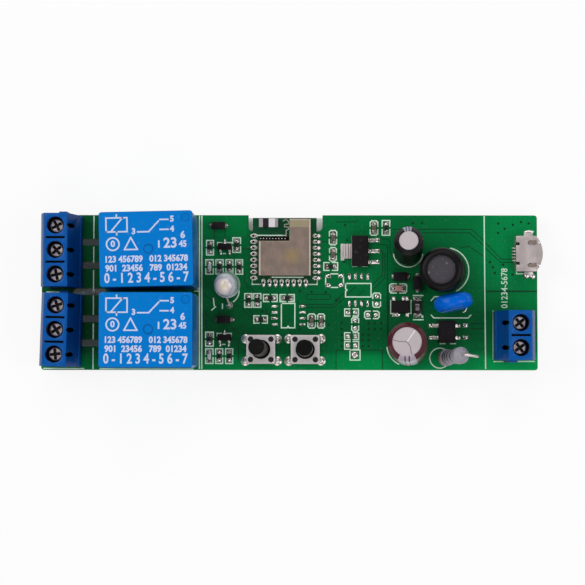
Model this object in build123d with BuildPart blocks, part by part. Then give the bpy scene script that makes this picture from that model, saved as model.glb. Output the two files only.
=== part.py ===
from build123d import *
import math
import os

# A bare circuit board with a wireless module, two relays, screw terminals and its own supply.
# Sizes are in millimetres. X runs along the board to its supply end, Y runs across it to the
# antenna edge, and Z points out of the component side. The origin is the centre of the
# board's underside.

# The board
board_length = 104.2
board_width = 32.6
board_thickness = 1.6
board_corner_radius = 0.6
lead_reach = 1.9          # how far every soldered lead stands out below the board
hole_gap = 0.1            # room round a lead in its hole
overrun = 1.0             # how far a cut runs past the face it starts from
seat_gap = 0.02           # a piece that lies on another stands off by this much
antenna_notch_share = -0.0082
antenna_notch_width = 15.6
antenna_notch_depth = 3.4
antenna_notch_radius = 1.0
isolation_slot_width = 1.4
isolation_slot_length = 7.0
isolation_slot_x_share = -0.403
isolation_slot_y_shares = (0.325, 0.175, 0.004, -0.17, -0.327)

# The screw terminal blocks
block_height = 10.0
block_depth = 7.5
block_well_to_front = 3.2
block_bevel_run = 0.9
block_bevel_drop = 2.0
block_top_depth = 4.8
block_foot_height = 4.0
block_foot_lip = 0.15
relay_pole_pitch = 5.0
supply_pole_pitch = 5.08
well_radius = 1.75
top_slot_length = 3.9
top_slot_width = 0.45
top_slot_depth = 0.9
probe_hole_radius = 0.5
probe_hole_depth = 2.6
probe_hole_offset = 2.9
rib_width = 1.7
rib_height = 7.5
rib_depth = 0.5
rib_inset = 1.2
block_floor = 0.35
relay_block_shares = ((-0.458, 0.2552), (-0.4579, -0.2445))
relay_block_turns = (0.0, -1.6)
supply_block_share = (0.4515, -0.277)

# The rising clamp inside each pole of a terminal block
cage_width = 3.6
cage_depth = 3.3
cage_side = 0.55
cage_foot = 0.5
cage_crown = 0.9
wire_gap = 1.7            # between the cage's foot and the leaf when the clamp is open
leaf_thickness = 0.5
leaf_play = 0.1
leaf_width = 2.1
cage_gap = 0.12           # room round a cage in its chamber
clamp_travel = 1.6
head_radius = 1.55
head_height = 1.7
head_chamfer = 0.2
cross_width = 0.6
cross_length = 2.5
cross_depth = 0.7
shank_radius = 1.2
shank_gap = 0.06
ledge_thickness = 0.45
leg_gap = 0.2
leg_thickness = 0.5
tail_width = 1.0
entry_width = 2.9
entry_height = 2.4
funnel_width = 3.6
funnel_height = 3.2
funnel_depth = 0.5

# The relays
relay_length = 19.0
relay_width = 15.3
relay_height = 15.3
relay_wall = 0.8
relay_draft = 0.35
relay_corner_radius = 0.7
relay_edge_radius = 0.35
relay_fit = 0.1           # between the cover and its base
relay_base_lift = 0.3
relay_base_thickness = 1.2
relay_foot_radius = 0.7
relay_common_inset = 2.2
relay_coil_step = 2.0
relay_contact_step_share = 0.6421
relay_pin_spread_share = 0.7843
relay_pin_width = 1.0
relay_coil_pin_width = 0.6
strip_thickness = 0.5
strip_width = 2.4
yoke_thickness = 1.2
yoke_width = 8.6
yoke_top = 10.6
core_radius = 2.0
core_head_radius = 3.0
core_head_height = 0.7
bobbin_side = 10.6
bobbin_flange = 0.8
bobbin_wall = 0.6
winding_radius = 4.9
winding_gap = 0.05
armature_length = 10.6
armature_width = 8.2
armature_thickness = 1.0
armature_swing = 3.0
hinge_gap = 0.05
spring_thickness = 0.25
spring_width = 3.4
contact_radius = 1.2
contact_height = 0.5
contact_gap = 0.1
mark_radius = 0.95
mark_depth = 0.12
mark_offset_share = 0.027
vent_radius = 0.45
vent_offset_shares = (0.417, 0.39)
relay_share_x = -0.2753
relay_turns = (1.3, 0.0)
relay_gap = 0.9022         # between the two relay cases

# The wireless module
module_length = 13.4
module_width = 13.7
module_thickness = 0.8
module_share = (-0.0099, 0.27)
module_pad_pitch = 1.27
module_pad_radius = 0.3
module_pads = 8
module_row_shift = -1.35  # the side rows lie this far from the module's middle
shield_height = 2.3
shield_wall = 0.2
shield_length = 10.9
shield_width = 7.3
shield_arm_length = 4.5
shield_arm_width = 4.6
shield_inset_x = 1.25
shield_inset_y = 1.45
shield_edge_radius = 0.25
antenna_length = 4.0
antenna_width = 1.8
antenna_height = 1.1
antenna_inset = 0.2
antenna_offset = 1.3
module_chip_side = 5.0
module_chip_height = 0.85
memory_length = 3.6
memory_width = 2.6
memory_height = 0.75
crystal_length = 3.2
crystal_width = 2.0
crystal_height = 0.8

# The push buttons
button_side = 6.0
button_base_height = 3.2
button_cover_thickness = 0.3
button_cover_skirt = 1.3
button_corner_radius = 0.4
button_leg_spread = 6.5
button_leg_pitch = 4.5
button_leg_width = 0.7
button_leg_thickness = 0.3
button_well_radius = 2.7
button_floor = 1.2
plunger_radius = 1.68
plunger_top = 8.0
plunger_flange_radius = 2.2
plunger_flange_height = 0.5
plunger_seat = 2.25
plunger_hole_radius = 2.0
plunger_nub_radius = 0.8
plunger_edge_radius = 0.15
rivet_radius = 0.55
rivet_offset = 2.1
rivet_depth = 0.2
dome_radius = 2.3
dome_height = 0.5
dome_sheet = 0.08
dome_waist_share = 0.8
dome_lift = 0.05
plunger_leans = ((-8.5, 5.0), (-2.5, 3.5))
button_shares = ((-0.0573, -0.3666), (0.0313, -0.3672))

# The supply's own socket
usb_width = 7.4
usb_height = 2.6
usb_depth = 4.3
usb_sheet = 0.3
usb_setback = 0.5         # from the board's edge back to the socket's front
usb_lip = 1.2
usb_lip_radius = 6.0
usb_lip_rise = 0.45
usb_corner = 0.7
usb_tab_length = 1.9
usb_tab_offset = 2.95
usb_tab_reach = 1.0
usb_slot_length = 0.75
usb_slot_width = 0.6
usb_slot_offset = 2.05
usb_window_length = 1.5
usb_window_width = 0.7
usb_window_offset = 2.35
usb_window_inset = 0.2
usb_back = 1.1
usb_tongue_width = 3.7
usb_tongue_thickness = 0.6
usb_tongue_length = 3.3
usb_pins = 5
usb_pin_pitch = 0.65
usb_pin_width = 0.25
usb_pin_thickness = 0.15
usb_pin_reach = 0.55
usb_share_y = 0.248

# The parts that stand on wires
wire_radius = 0.3
wire_bend = 0.4
small_can_radius = 3.0
small_can_height = 11.0
small_can_pitch = 2.5
small_can_lean = (-0.76, 1.51)
small_can_share = (0.2395, 0.2598)
large_can_radius = 4.0
large_can_height = 12.0
large_can_pitch = 3.5
large_can_lean = (-1.33, 0.98)
large_can_share = (0.2407, -0.3518)
can_rim_radius = 0.7
can_groove_depth = 0.25
can_groove_height = 1.6
can_top_recess = 0.15
can_rim_width = 1.05
coil_can_radius = 4.5
coil_can_height = 10.5
coil_can_pitch = 5.0
coil_can_lean = (-1.9, -0.3)
coil_can_share = (0.3148, 0.1396)
coil_can_shoulder = 1.3
coil_core_radius = 2.9
coil_core_recess = 0.5
wire_stub = 0.5
varistor_radius = 4.0
varistor_thickness = 3.2
varistor_edge = 1.35
varistor_turn = 9.5
varistor_lean = 0.11
varistor_pitch = 5.0
varistor_stub = 1.4
varistor_share = (0.3253, -0.086)
resistor_radius = 1.5
resistor_cap_radius = 1.72
resistor_cap_length = 2.0
resistor_length = 9.4
resistor_lean = (2.75, 0.6)
resistor_lean_height = 8.0
resistor_lift = 1.3
resistor_bend = 0.7
resistor_share = (0.305, -0.425)
resistor_far_share = (0.3665, -0.409)
led_radius = 2.45
led_flange_radius = 2.75
led_flange_height = 1.0
led_height = 8.6
led_lean = (0.0, -0.3)
led_share = (-0.1248, 0.0482)
led_lift = 2.2
led_lead_radius = 0.25
led_lead_offset = 1.1
led_lead_side = 0.6
led_front_share = (-0.1213, -0.0816)

# The flat parts that are soldered to the face of the board
lead_sheet = 0.2
rectifier_size = (3.5, 4.6, 2.4)
rectifier_pitch = 2.54
rectifier_lead_width = 0.7
rectifier_lead_reach = 1.2
rectifier_share = (0.3157, -0.2521)
regulator_size = (3.5, 6.4, 1.6)
regulator_pitch = 2.3
regulator_lead_width = 0.75
regulator_lead_reach = 1.6
regulator_tab_width = 3.1
regulator_share = (0.142, 0.2669)
driver_size = (3.8, 2.6, 1.4)
driver_lead_width = 0.6
driver_lead_reach = 0.8
driver_wide_lead = 1.3
driver_share = (0.2231, -0.0914)
driver_lead_offsets_share = (-0.36, 0.18, 0.38)
transistor_size = (2.9, 1.3, 1.0)
transistor_lead_width = 0.45
transistor_lead_reach = 0.6
transistor_lead_offset = 0.95
transistor_shares = ((-0.1307, 0.2942), (-0.131, -0.2908))
signal_diode_size = (2.8, 1.5, 1.1)
power_diode_size = (2.8, 1.8, 1.1)
diode_lead_width = 0.8
diode_lead_reach = 0.45
body_slope = 0.12
signal_diode_shares = ((-0.144, 0.431), (-0.1324, -0.1758))
power_diode_shares = ((0.2233, 0.1028, 0.0), (0.2578, 0.0623, 90.0))
chip_size = (1.6, 0.8, 0.45)
chip_cap_length = 0.3
chip_cap_skin = 0.03
capacitor_size = (1.6, 0.85, 0.8)
filter_size = (2.0, 1.25, 1.0)
sense_size = (3.2, 1.55, 0.55)
sense_share = (0.258, -0.094, 90.0)
filter_share = (0.219, 0.0258, 0.0)
upright_resistor_shares = (
    (-0.1607, 0.2899), (-0.1069, 0.3064), (-0.1414, 0.1656), (-0.1215, 0.1653),
    (-0.1018, 0.1653), (-0.1613, -0.3006), (-0.1417, -0.4101), (-0.1217, -0.4101),
    (-0.0827, -0.0509), (-0.0653, -0.0512), (0.195, 0.4181),
)
level_resistor_shares = (
    (-0.0388, -0.0359), (-0.0049, -0.0362), (-0.0584, -0.1736), (0.083, 0.1678),
)
lamp_shares = ((-0.1615, 0.1656), (-0.1616, -0.4101))
lamp_size = (1.6, 0.8, 0.6)
upright_capacitor_shares = (
    (0.0445, -0.184), (0.0634, -0.184), (0.0878, 0.3543), (0.0877, 0.2466),
    (0.1707, 0.4169),
)


def spot(share):
    """The place on the board that a pair of shares of its length and width gives."""
    return Vector(share[0] * board_length, share[1] * board_width, 0)


def seat(share, turn=0.0):
    """A plane on the component side, at a place on the board and turned about Z."""
    place = spot(share)
    across = Vector(math.cos(math.radians(turn)), math.sin(math.radians(turn)), 0)
    return Plane(origin=(place.X, place.Y, board_thickness), x_dir=across, z_dir=(0, 0, 1))


def leaning_seat(share, lean, rise, lift):
    """A plane whose Z leans by lean over a height of rise, lifted along it by lift."""
    place = spot(share)
    along = Vector(lean[0], lean[1], rise).normalized()
    origin = Vector(place.X, place.Y, board_thickness) + along * lift
    across = Vector(1, 0, 0) - along * along.X
    return Plane(origin=origin, x_dir=across, z_dir=along)


def save(builder, label):
    """Write one finished piece under its own name."""
    builder.part.label = label
    export_step(builder.part, f"parts/{label}.step")


os.makedirs("parts", exist_ok=True)

lead_tip = -board_thickness - lead_reach   # the end of a lead, from the component side

relay_blocks = [
    seat(share, 180.0 + turn) for share, turn in zip(relay_block_shares, relay_block_turns)
]
supply_block = seat(supply_block_share)
relay_share_y = (relay_width + relay_gap) / 2 / board_width
relay_seats = [
    seat((relay_share_x, side * relay_share_y), turn) for side, turn in zip((1, -1), relay_turns)
]
button_seats = [seat(share) for share in button_shares]

# Heights inside a terminal block, from the board's component side
cage_bottom = block_floor + cage_gap
leaf_bottom = cage_bottom + cage_foot + wire_gap
leaf_top = leaf_bottom + leaf_thickness
cage_top = leaf_top + leaf_play + cage_crown
chamber_top = cage_top + clamp_travel + cage_gap
head_bottom = chamber_top + ledge_thickness + seat_gap
leg_x = -cage_depth / 2 - leg_gap - leg_thickness / 2
chamber_front = cage_depth / 2 + cage_gap
chamber_back = leg_x - leg_thickness / 2 - seat_gap


def pole_places(poles, pitch):
    """The middle of each pole along its block, from one end to the other."""
    return [(0, (index - (poles - 1) / 2) * pitch) for index in range(poles)]


relay_poles = pole_places(3, relay_pole_pitch)
supply_poles = pole_places(2, supply_pole_pitch)


def pole_planes():
    """A plane for every pole of the three blocks, on the component side."""
    planes = []
    for block in relay_blocks:
        for place in relay_poles:
            planes.append(block.shift_origin(block.from_local_coords(place)))
    for place in supply_poles:
        planes.append(supply_block.shift_origin(supply_block.from_local_coords(place)))
    return planes


poles = pole_planes()


def make_terminal_block(label, block, places, pitch):
    """One moulded housing with its wells, clamp chambers, wire entries and side rib."""
    length = len(places) * pitch
    side = Plane(origin=block.origin, x_dir=block.x_dir, z_dir=-block.y_dir)
    front = block_well_to_front
    back = front - block_depth
    top_front = front - block_bevel_run
    top_back = top_front - block_top_depth
    with BuildPart(block) as housing:
        with BuildSketch(side):
            with BuildLine():
                Polyline(
                    (front, 0),
                    (front, block_height - block_bevel_drop),
                    (top_front, block_height),
                    (top_back, block_height),
                    (back + block_foot_lip, block_foot_height),
                    (back, block_foot_height),
                    (back, 0),
                    close=True,
                )
            make_face()
        extrude(amount=length / 2, both=True)
        with Locations((front - block_well_to_front - rib_inset, -length / 2, 0)):
            Box(rib_width, 2 * rib_depth, rib_height, align=(Align.CENTER, Align.CENTER, Align.MIN))
        for x, y in places:
            with Locations((x, y, head_bottom - seat_gap)):
                Cylinder(well_radius, block_height, align=(Align.CENTER, Align.CENTER, Align.MIN),
                         mode=Mode.SUBTRACT)
            with Locations((x, y, block_floor)):
                Cylinder(shank_radius + shank_gap, block_height,
                         align=(Align.CENTER, Align.CENTER, Align.MIN), mode=Mode.SUBTRACT)
            with Locations(((chamber_front + chamber_back) / 2, y, block_floor)):
                Box(chamber_front - chamber_back, cage_width + 2 * cage_gap,
                    chamber_top - block_floor,
                    align=(Align.CENTER, Align.CENTER, Align.MIN), mode=Mode.SUBTRACT)
            with Locations((front + overrun, y, (cage_bottom + cage_foot + leaf_bottom) / 2)):
                Box(2 * (front + overrun), entry_width, entry_height,
                    align=(Align.CENTER, Align.CENTER, Align.CENTER), mode=Mode.SUBTRACT)
            with Locations((front - funnel_depth, y, (cage_bottom + cage_foot + leaf_bottom) / 2)):
                Box(2 * funnel_depth + overrun, funnel_width, funnel_height,
                    align=(Align.MIN, Align.CENTER, Align.CENTER), mode=Mode.SUBTRACT)
            with Locations((leg_x, y, 0)):
                Box(leg_thickness + 2 * seat_gap, leaf_width + 2 * seat_gap, 2 * block_floor,
                    align=(Align.CENTER, Align.CENTER, Align.CENTER), mode=Mode.SUBTRACT)
            with Locations((-probe_hole_offset, y, block_height - block_bevel_drop)):
                Cylinder(probe_hole_radius, 2 * probe_hole_depth, mode=Mode.SUBTRACT,
                         align=(Align.CENTER, Align.CENTER, Align.CENTER))
        for index in range(len(places) - 1):
            with Locations((0, (places[index][1] + places[index + 1][1]) / 2, block_height)):
                Box(top_slot_length, top_slot_width, 2 * top_slot_depth, mode=Mode.SUBTRACT)
    save(housing, label)


make_terminal_block("relay_terminal_1_housing", relay_blocks[0], relay_poles, relay_pole_pitch)
make_terminal_block("relay_terminal_2_housing", relay_blocks[1], relay_poles, relay_pole_pitch)
make_terminal_block("supply_terminal_housing", supply_block, supply_poles, supply_pole_pitch)


def make_clamp(number, pole):
    """The screw of one pole and the cage that it lifts."""
    with BuildPart(pole) as screw:
        with Locations((0, 0, leaf_top + seat_gap)):
            Cylinder(shank_radius, head_bottom - leaf_top - seat_gap,
                     align=(Align.CENTER, Align.CENTER, Align.MIN))
        with Locations((0, 0, head_bottom)):
            Cylinder(head_radius, head_height, align=(Align.CENTER, Align.CENTER, Align.MIN))
        chamfer(screw.edges().filter_by(GeomType.CIRCLE).sort_by(Axis.Z)[-1], length=head_chamfer)
        with Locations((0, 0, head_bottom + head_height)):
            Box(cross_length, cross_width, 2 * cross_depth, mode=Mode.SUBTRACT)
            Box(cross_width, cross_length, 2 * cross_depth, mode=Mode.SUBTRACT)
    save(screw, f"clamp_screw_{number}")
    with BuildPart(pole) as cage:
        with Locations((0, 0, cage_bottom)):
            Box(cage_depth, cage_width, cage_top - cage_bottom,
                align=(Align.CENTER, Align.CENTER, Align.MIN))
        with Locations((0, 0, cage_bottom + cage_foot)):
            Box(cage_depth + overrun, cage_width - 2 * cage_side,
                cage_top - cage_crown - cage_bottom - cage_foot,
                align=(Align.CENTER, Align.CENTER, Align.MIN), mode=Mode.SUBTRACT)
        with Locations((0, 0, leaf_top)):
            Cylinder(shank_radius + shank_gap, block_height,
                     align=(Align.CENTER, Align.CENTER, Align.MIN), mode=Mode.SUBTRACT)
    save(cage, f"clamp_cage_{number}")


for number, pole in enumerate(poles, start=1):
    make_clamp(number, pole)

# Each terminal pin is a leaf inside the cage, a leg behind it and a tail through the board
with BuildPart(*poles) as terminal_pins:
    with Locations((leg_x - leg_thickness / 2, 0, leaf_bottom)):
        Box(cage_depth / 2 - leg_x + leg_thickness / 2, leaf_width, leaf_thickness,
            align=(Align.MIN, Align.CENTER, Align.MIN))
    with Locations((leg_x, 0, 0)):
        Box(leg_thickness, leaf_width, leaf_bottom, align=(Align.CENTER, Align.CENTER, Align.MIN))
    with Locations((leg_x, 0, lead_tip)):
        Box(leg_thickness, tail_width, -lead_tip, align=(Align.CENTER, Align.CENTER, Align.MIN))
save(terminal_pins, "terminal_pins")

# Places inside a relay, from the middle of its case on the board
relay_common_x = relay_length / 2 - relay_common_inset
relay_coil_x = relay_common_x - relay_coil_step
relay_contact_x = relay_coil_x - relay_contact_step_share * relay_length
relay_pin_y = relay_pin_spread_share * relay_width / 2
yoke_outer = relay_common_x - strip_thickness / 2
yoke_bottom = relay_base_lift + relay_base_thickness
core_x = yoke_outer - yoke_thickness - bobbin_side / 2 - winding_gap
hinge_height = yoke_top + hinge_gap
swing = math.radians(armature_swing)
reach = yoke_outer - relay_contact_x
leaf_level = armature_thickness
upper_contact = (
    hinge_height
    + (leaf_level + spring_thickness + contact_height) * math.cos(swing)
    + (reach + contact_radius) * math.sin(swing)
    + contact_gap
)
lower_contact = hinge_height + leaf_level - contact_height - contact_gap
coil_pins = [(relay_coil_x, relay_pin_y), (relay_coil_x, -relay_pin_y)]
contact_pins = [(relay_contact_x, relay_pin_y), (relay_contact_x, -relay_pin_y)]
common_pin = (relay_common_x, 0)


def make_relay_cover(number, plane):
    """The moulded case, with its moulding mark and the vent nick in a corner."""
    with BuildPart(plane) as cover:
        with BuildSketch(plane):
            RectangleRounded(relay_length, relay_width, relay_corner_radius)
        extrude(amount=relay_height, taper=relay_draft)
        fillet(cover.faces().sort_by(Axis.Z)[-1].edges(), radius=relay_edge_radius)
        Box(relay_length - 2 * relay_wall, relay_width - 2 * relay_wall,
            2 * (relay_height - relay_wall), mode=Mode.SUBTRACT)
        with Locations((relay_length * mark_offset_share, 0, relay_height)):
            Cylinder(mark_radius, 2 * mark_depth, mode=Mode.SUBTRACT)
        with Locations((relay_length * vent_offset_shares[0],
                        relay_width * vent_offset_shares[1], relay_height)):
            Cylinder(vent_radius, 2 * mark_depth, mode=Mode.SUBTRACT)
    save(cover, f"relay_{number}_cover")


def make_iron_frame(number, plane):
    """The L-shaped yoke with the coil's core riveted into its foot."""
    foot = yoke_outer - core_x + core_head_radius
    with BuildPart(plane) as frame:
        with Locations((yoke_outer, 0, yoke_bottom)):
            Box(foot, yoke_width, yoke_thickness, align=(Align.MAX, Align.CENTER, Align.MIN))
            Box(yoke_thickness, yoke_width, yoke_top - yoke_bottom,
                align=(Align.MAX, Align.CENTER, Align.MIN))
        with Locations((core_x, 0, yoke_bottom)):
            Cylinder(core_radius, yoke_top - yoke_bottom,
                     align=(Align.CENTER, Align.CENTER, Align.MIN))
        with Locations((core_x, 0, yoke_top)):
            Cylinder(core_head_radius, core_head_height,
                     align=(Align.CENTER, Align.CENTER, Align.MAX))
    save(frame, f"relay_{number}_iron_frame")


def make_armature(number, plane):
    """The hinged plate at rest, lifted off the core, and the contact leaf on its back."""
    corner = plane.from_local_coords((yoke_outer, 0, hinge_height))
    tilted = Plane(
        origin=corner,
        x_dir=Vector(-math.cos(swing), 0, math.sin(swing)),
        z_dir=Vector(math.sin(swing), 0, math.cos(swing)),
    )
    with BuildPart(tilted) as armature:
        Box(armature_length, armature_width, armature_thickness,
            align=(Align.MIN, Align.CENTER, Align.MIN))
    save(armature, f"relay_{number}_armature")
    with BuildPart(tilted) as leaf:
        with Locations((armature_thickness, 0, leaf_level)):
            Box(reach - armature_thickness + contact_radius, spring_width, spring_thickness,
                align=(Align.MIN, Align.CENTER, Align.MIN))
        with Locations((reach, 0, leaf_level - contact_height)):
            Cylinder(contact_radius, 2 * contact_height + spring_thickness,
                     align=(Align.CENTER, Align.CENTER, Align.MIN))
    save(leaf, f"relay_{number}_contact_spring")


for number, plane in enumerate(relay_seats, start=1):
    make_relay_cover(number, plane)
    make_iron_frame(number, plane)
    make_armature(number, plane)

base_length = relay_length - 2 * relay_wall - 2 * relay_fit
base_width = relay_width - 2 * relay_wall - 2 * relay_fit
with BuildPart(*relay_seats) as relay_bases:
    with Locations((0, 0, relay_base_lift)):
        Box(base_length, base_width, relay_base_thickness,
            align=(Align.CENTER, Align.CENTER, Align.MIN))
    with Locations((0, 0, 0)):
        with GridLocations(base_length - 4 * relay_foot_radius,
                           base_width - 2 * relay_foot_radius, 2, 2):
            Cylinder(relay_foot_radius, relay_base_lift,
                     align=(Align.CENTER, Align.CENTER, Align.MIN))
    with Locations(*contact_pins, common_pin):
        Box(strip_thickness + 2 * hole_gap, relay_pin_width + 2 * hole_gap,
            2 * yoke_bottom, mode=Mode.SUBTRACT)
    with Locations(*coil_pins):
        Box(relay_coil_pin_width + 2 * hole_gap, relay_coil_pin_width + 2 * hole_gap,
            2 * yoke_bottom, mode=Mode.SUBTRACT)
save(relay_bases, "relay_bases")

bobbin_bottom = yoke_bottom + yoke_thickness
bobbin_height = yoke_top - core_head_height - bobbin_bottom
with BuildPart(*relay_seats) as relay_bobbins:
    with Locations((core_x, 0, bobbin_bottom), (core_x, 0, bobbin_bottom + bobbin_height
                                                 - bobbin_flange)):
        Box(bobbin_side, bobbin_side, bobbin_flange, align=(Align.CENTER, Align.CENTER, Align.MIN))
    with Locations((core_x, 0, bobbin_bottom)):
        Cylinder(core_radius + winding_gap + bobbin_wall, bobbin_height,
                 align=(Align.CENTER, Align.CENTER, Align.MIN))
        Cylinder(core_radius + winding_gap, bobbin_height,
                 align=(Align.CENTER, Align.CENTER, Align.MIN), mode=Mode.SUBTRACT)
save(relay_bobbins, "relay_bobbins")

with BuildPart(*relay_seats) as relay_windings:
    with Locations((core_x, 0, bobbin_bottom + bobbin_flange + winding_gap)):
        Cylinder(winding_radius, bobbin_height - 2 * bobbin_flange - 2 * winding_gap,
                 align=(Align.CENTER, Align.CENTER, Align.MIN))
        Cylinder(core_radius + bobbin_wall + 2 * winding_gap, bobbin_height,
                 align=(Align.CENTER, Align.CENTER, Align.MIN), mode=Mode.SUBTRACT)
save(relay_windings, "relay_windings")

coil_pin_top = bobbin_bottom + bobbin_flange
upper_strip = upper_contact + contact_height
lower_strip = lower_contact - contact_height
with BuildPart(*relay_seats) as relay_terminals:
    with Locations(*[(x, y, lead_tip) for x, y in coil_pins]):
        Box(relay_coil_pin_width, relay_coil_pin_width, coil_pin_top - lead_tip,
            align=(Align.CENTER, Align.CENTER, Align.MIN))
    with Locations(*[(x, y, lead_tip) for x, y in (*contact_pins, common_pin)]):
        Box(strip_thickness, relay_pin_width, yoke_bottom - lead_tip,
            align=(Align.CENTER, Align.CENTER, Align.MIN))
    with Locations((relay_common_x, 0, yoke_bottom)):
        Box(strip_thickness, strip_width, yoke_top - yoke_bottom - armature_thickness,
            align=(Align.CENTER, Align.CENTER, Align.MIN))
    for side, strip_level in ((1, upper_strip), (-1, lower_strip)):
        inner = contact_radius
        outer = relay_pin_y + relay_pin_width / 2
        with Locations((relay_contact_x, side * outer, yoke_bottom)):
            Box(strip_thickness, relay_pin_width, strip_level - yoke_bottom,
                align=(Align.CENTER, Align.MAX if side > 0 else Align.MIN, Align.MIN))
        with Locations((relay_contact_x, side * outer, strip_level)):
            Box(2 * contact_radius, outer + inner, strip_thickness,
                align=(Align.CENTER, Align.MAX if side > 0 else Align.MIN,
                       Align.MIN if side > 0 else Align.MAX))
    with Locations((relay_contact_x, 0, upper_contact)):
        Cylinder(contact_radius, upper_strip - upper_contact,
                 align=(Align.CENTER, Align.CENTER, Align.MIN))
    with Locations((relay_contact_x, 0, lower_strip)):
        Cylinder(contact_radius, lower_contact - lower_strip,
                 align=(Align.CENTER, Align.CENTER, Align.MIN))
save(relay_terminals, "relay_terminals")

# The wireless module lies on the board and bridges the antenna notch
module_seat = seat(module_share)
pad_span = (module_pads - 1) * module_pad_pitch
side_pads = [
    (side * module_length / 2, module_row_shift + index * module_pad_pitch - pad_span / 2)
    for side in (-1, 1) for index in range(module_pads)
]
end_pads = [
    (index * module_pad_pitch - pad_span / 2, -module_width / 2) for index in range(module_pads)
]
with BuildPart(module_seat) as wifi_board:
    Box(module_length, module_width, module_thickness,
        align=(Align.CENTER, Align.CENTER, Align.MIN))
    with Locations(*side_pads, *end_pads):
        Cylinder(module_pad_radius, 2 * module_thickness + overrun, mode=Mode.SUBTRACT)
save(wifi_board, "wifi_board")

shield_left = -module_length / 2 + shield_inset_x
shield_low = -module_width / 2 + shield_inset_y
shield_right = shield_left + shield_length
shield_shelf = shield_low + shield_width
shield_high = shield_shelf + shield_arm_width
shield_step = shield_right - shield_arm_length
module_top = module_seat.offset(module_thickness)
with BuildPart(module_top) as wifi_shield:
    with BuildSketch(module_top):
        with BuildLine():
            Polyline(
                (shield_left, shield_low),
                (shield_right, shield_low),
                (shield_right, shield_high),
                (shield_step, shield_high),
                (shield_step, shield_shelf),
                (shield_left, shield_shelf),
                close=True,
            )
        make_face()
    extrude(amount=shield_height)
    shield_bottom = wifi_shield.faces().sort_by(Axis.Z)[0]
    offset(amount=-shield_wall, openings=shield_bottom)
    fillet(wifi_shield.faces().sort_by(Axis.Z)[-1].edges(), radius=shield_edge_radius)
save(wifi_shield, "wifi_shield")

with BuildPart(module_top) as chip_antenna:
    with Locations((-module_length / 2 + antenna_offset, module_width / 2 - antenna_inset, 0)):
        Box(antenna_length, antenna_width, antenna_height,
            align=(Align.MIN, Align.MAX, Align.MIN))
save(chip_antenna, "chip_antenna")

arm_middle = (shield_step + shield_right) / 2
with BuildPart(module_top) as wifi_chips:
    with Locations((shield_right - 2 * shield_wall, shield_low + shield_width / 2, 0)):
        Box(module_chip_side, module_chip_side, module_chip_height,
            align=(Align.MAX, Align.CENTER, Align.MIN))
    with Locations((shield_left + 2 * shield_wall, shield_low + shield_width / 2, 0)):
        Box(memory_length, memory_width, memory_height,
            align=(Align.MIN, Align.CENTER, Align.MIN))
    with Locations((arm_middle, shield_shelf + shield_arm_width / 2, 0)):
        Box(crystal_length, crystal_width, crystal_height,
            align=(Align.CENTER, Align.CENTER, Align.MIN))
save(wifi_chips, "wifi_chips")

# The push buttons: base, snap dome, plunger and riveted cover
button_legs = [
    (side * button_leg_spread / 2, row * button_leg_pitch / 2) for side in (-1, 1)
    for row in (-1, 1)
]
with BuildPart(*button_seats) as button_bases:
    Box(button_side - 2 * button_cover_thickness, button_side - 2 * button_cover_thickness,
        button_base_height, align=(Align.CENTER, Align.CENTER, Align.MIN))
    with Locations((0, 0, button_floor)):
        Cylinder(button_well_radius, button_base_height,
                 align=(Align.CENTER, Align.CENTER, Align.MIN), mode=Mode.SUBTRACT)
    with Locations(*[(x, y, lead_tip) for x, y in button_legs]):
        Box(button_leg_thickness, button_leg_width, button_floor - lead_tip,
            align=(Align.CENTER, Align.CENTER, Align.MIN))
    with Locations(*[(x, y, button_floor) for x, y in button_legs if x > 0]):
        Box(button_leg_spread / 2 - button_well_radius, button_leg_width, button_leg_thickness,
            align=(Align.MAX, Align.CENTER, Align.MAX))
    with Locations(*[(x, y, button_floor) for x, y in button_legs if x < 0]):
        Box(button_leg_spread / 2 - button_well_radius, button_leg_width, button_leg_thickness,
            align=(Align.MIN, Align.CENTER, Align.MAX))
save(button_bases, "button_bases")

with BuildPart(*[plane.offset(button_base_height) for plane in button_seats]) as button_covers:
    with BuildSketch(*[plane.offset(button_base_height - button_cover_skirt)
                       for plane in button_seats]):
        RectangleRounded(button_side, button_side, button_corner_radius)
    extrude(amount=button_cover_skirt + button_cover_thickness)
    Box(button_side - 2 * button_cover_thickness, button_side - 2 * button_cover_thickness,
        2 * button_cover_skirt, mode=Mode.SUBTRACT)
    Cylinder(plunger_hole_radius, button_side, mode=Mode.SUBTRACT)
    with Locations((0, 0, button_cover_thickness)):
        with GridLocations(2 * rivet_offset, 2 * rivet_offset, 2, 2):
            Cylinder(rivet_radius, 2 * rivet_depth, mode=Mode.SUBTRACT)
save(button_covers, "button_covers")


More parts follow.
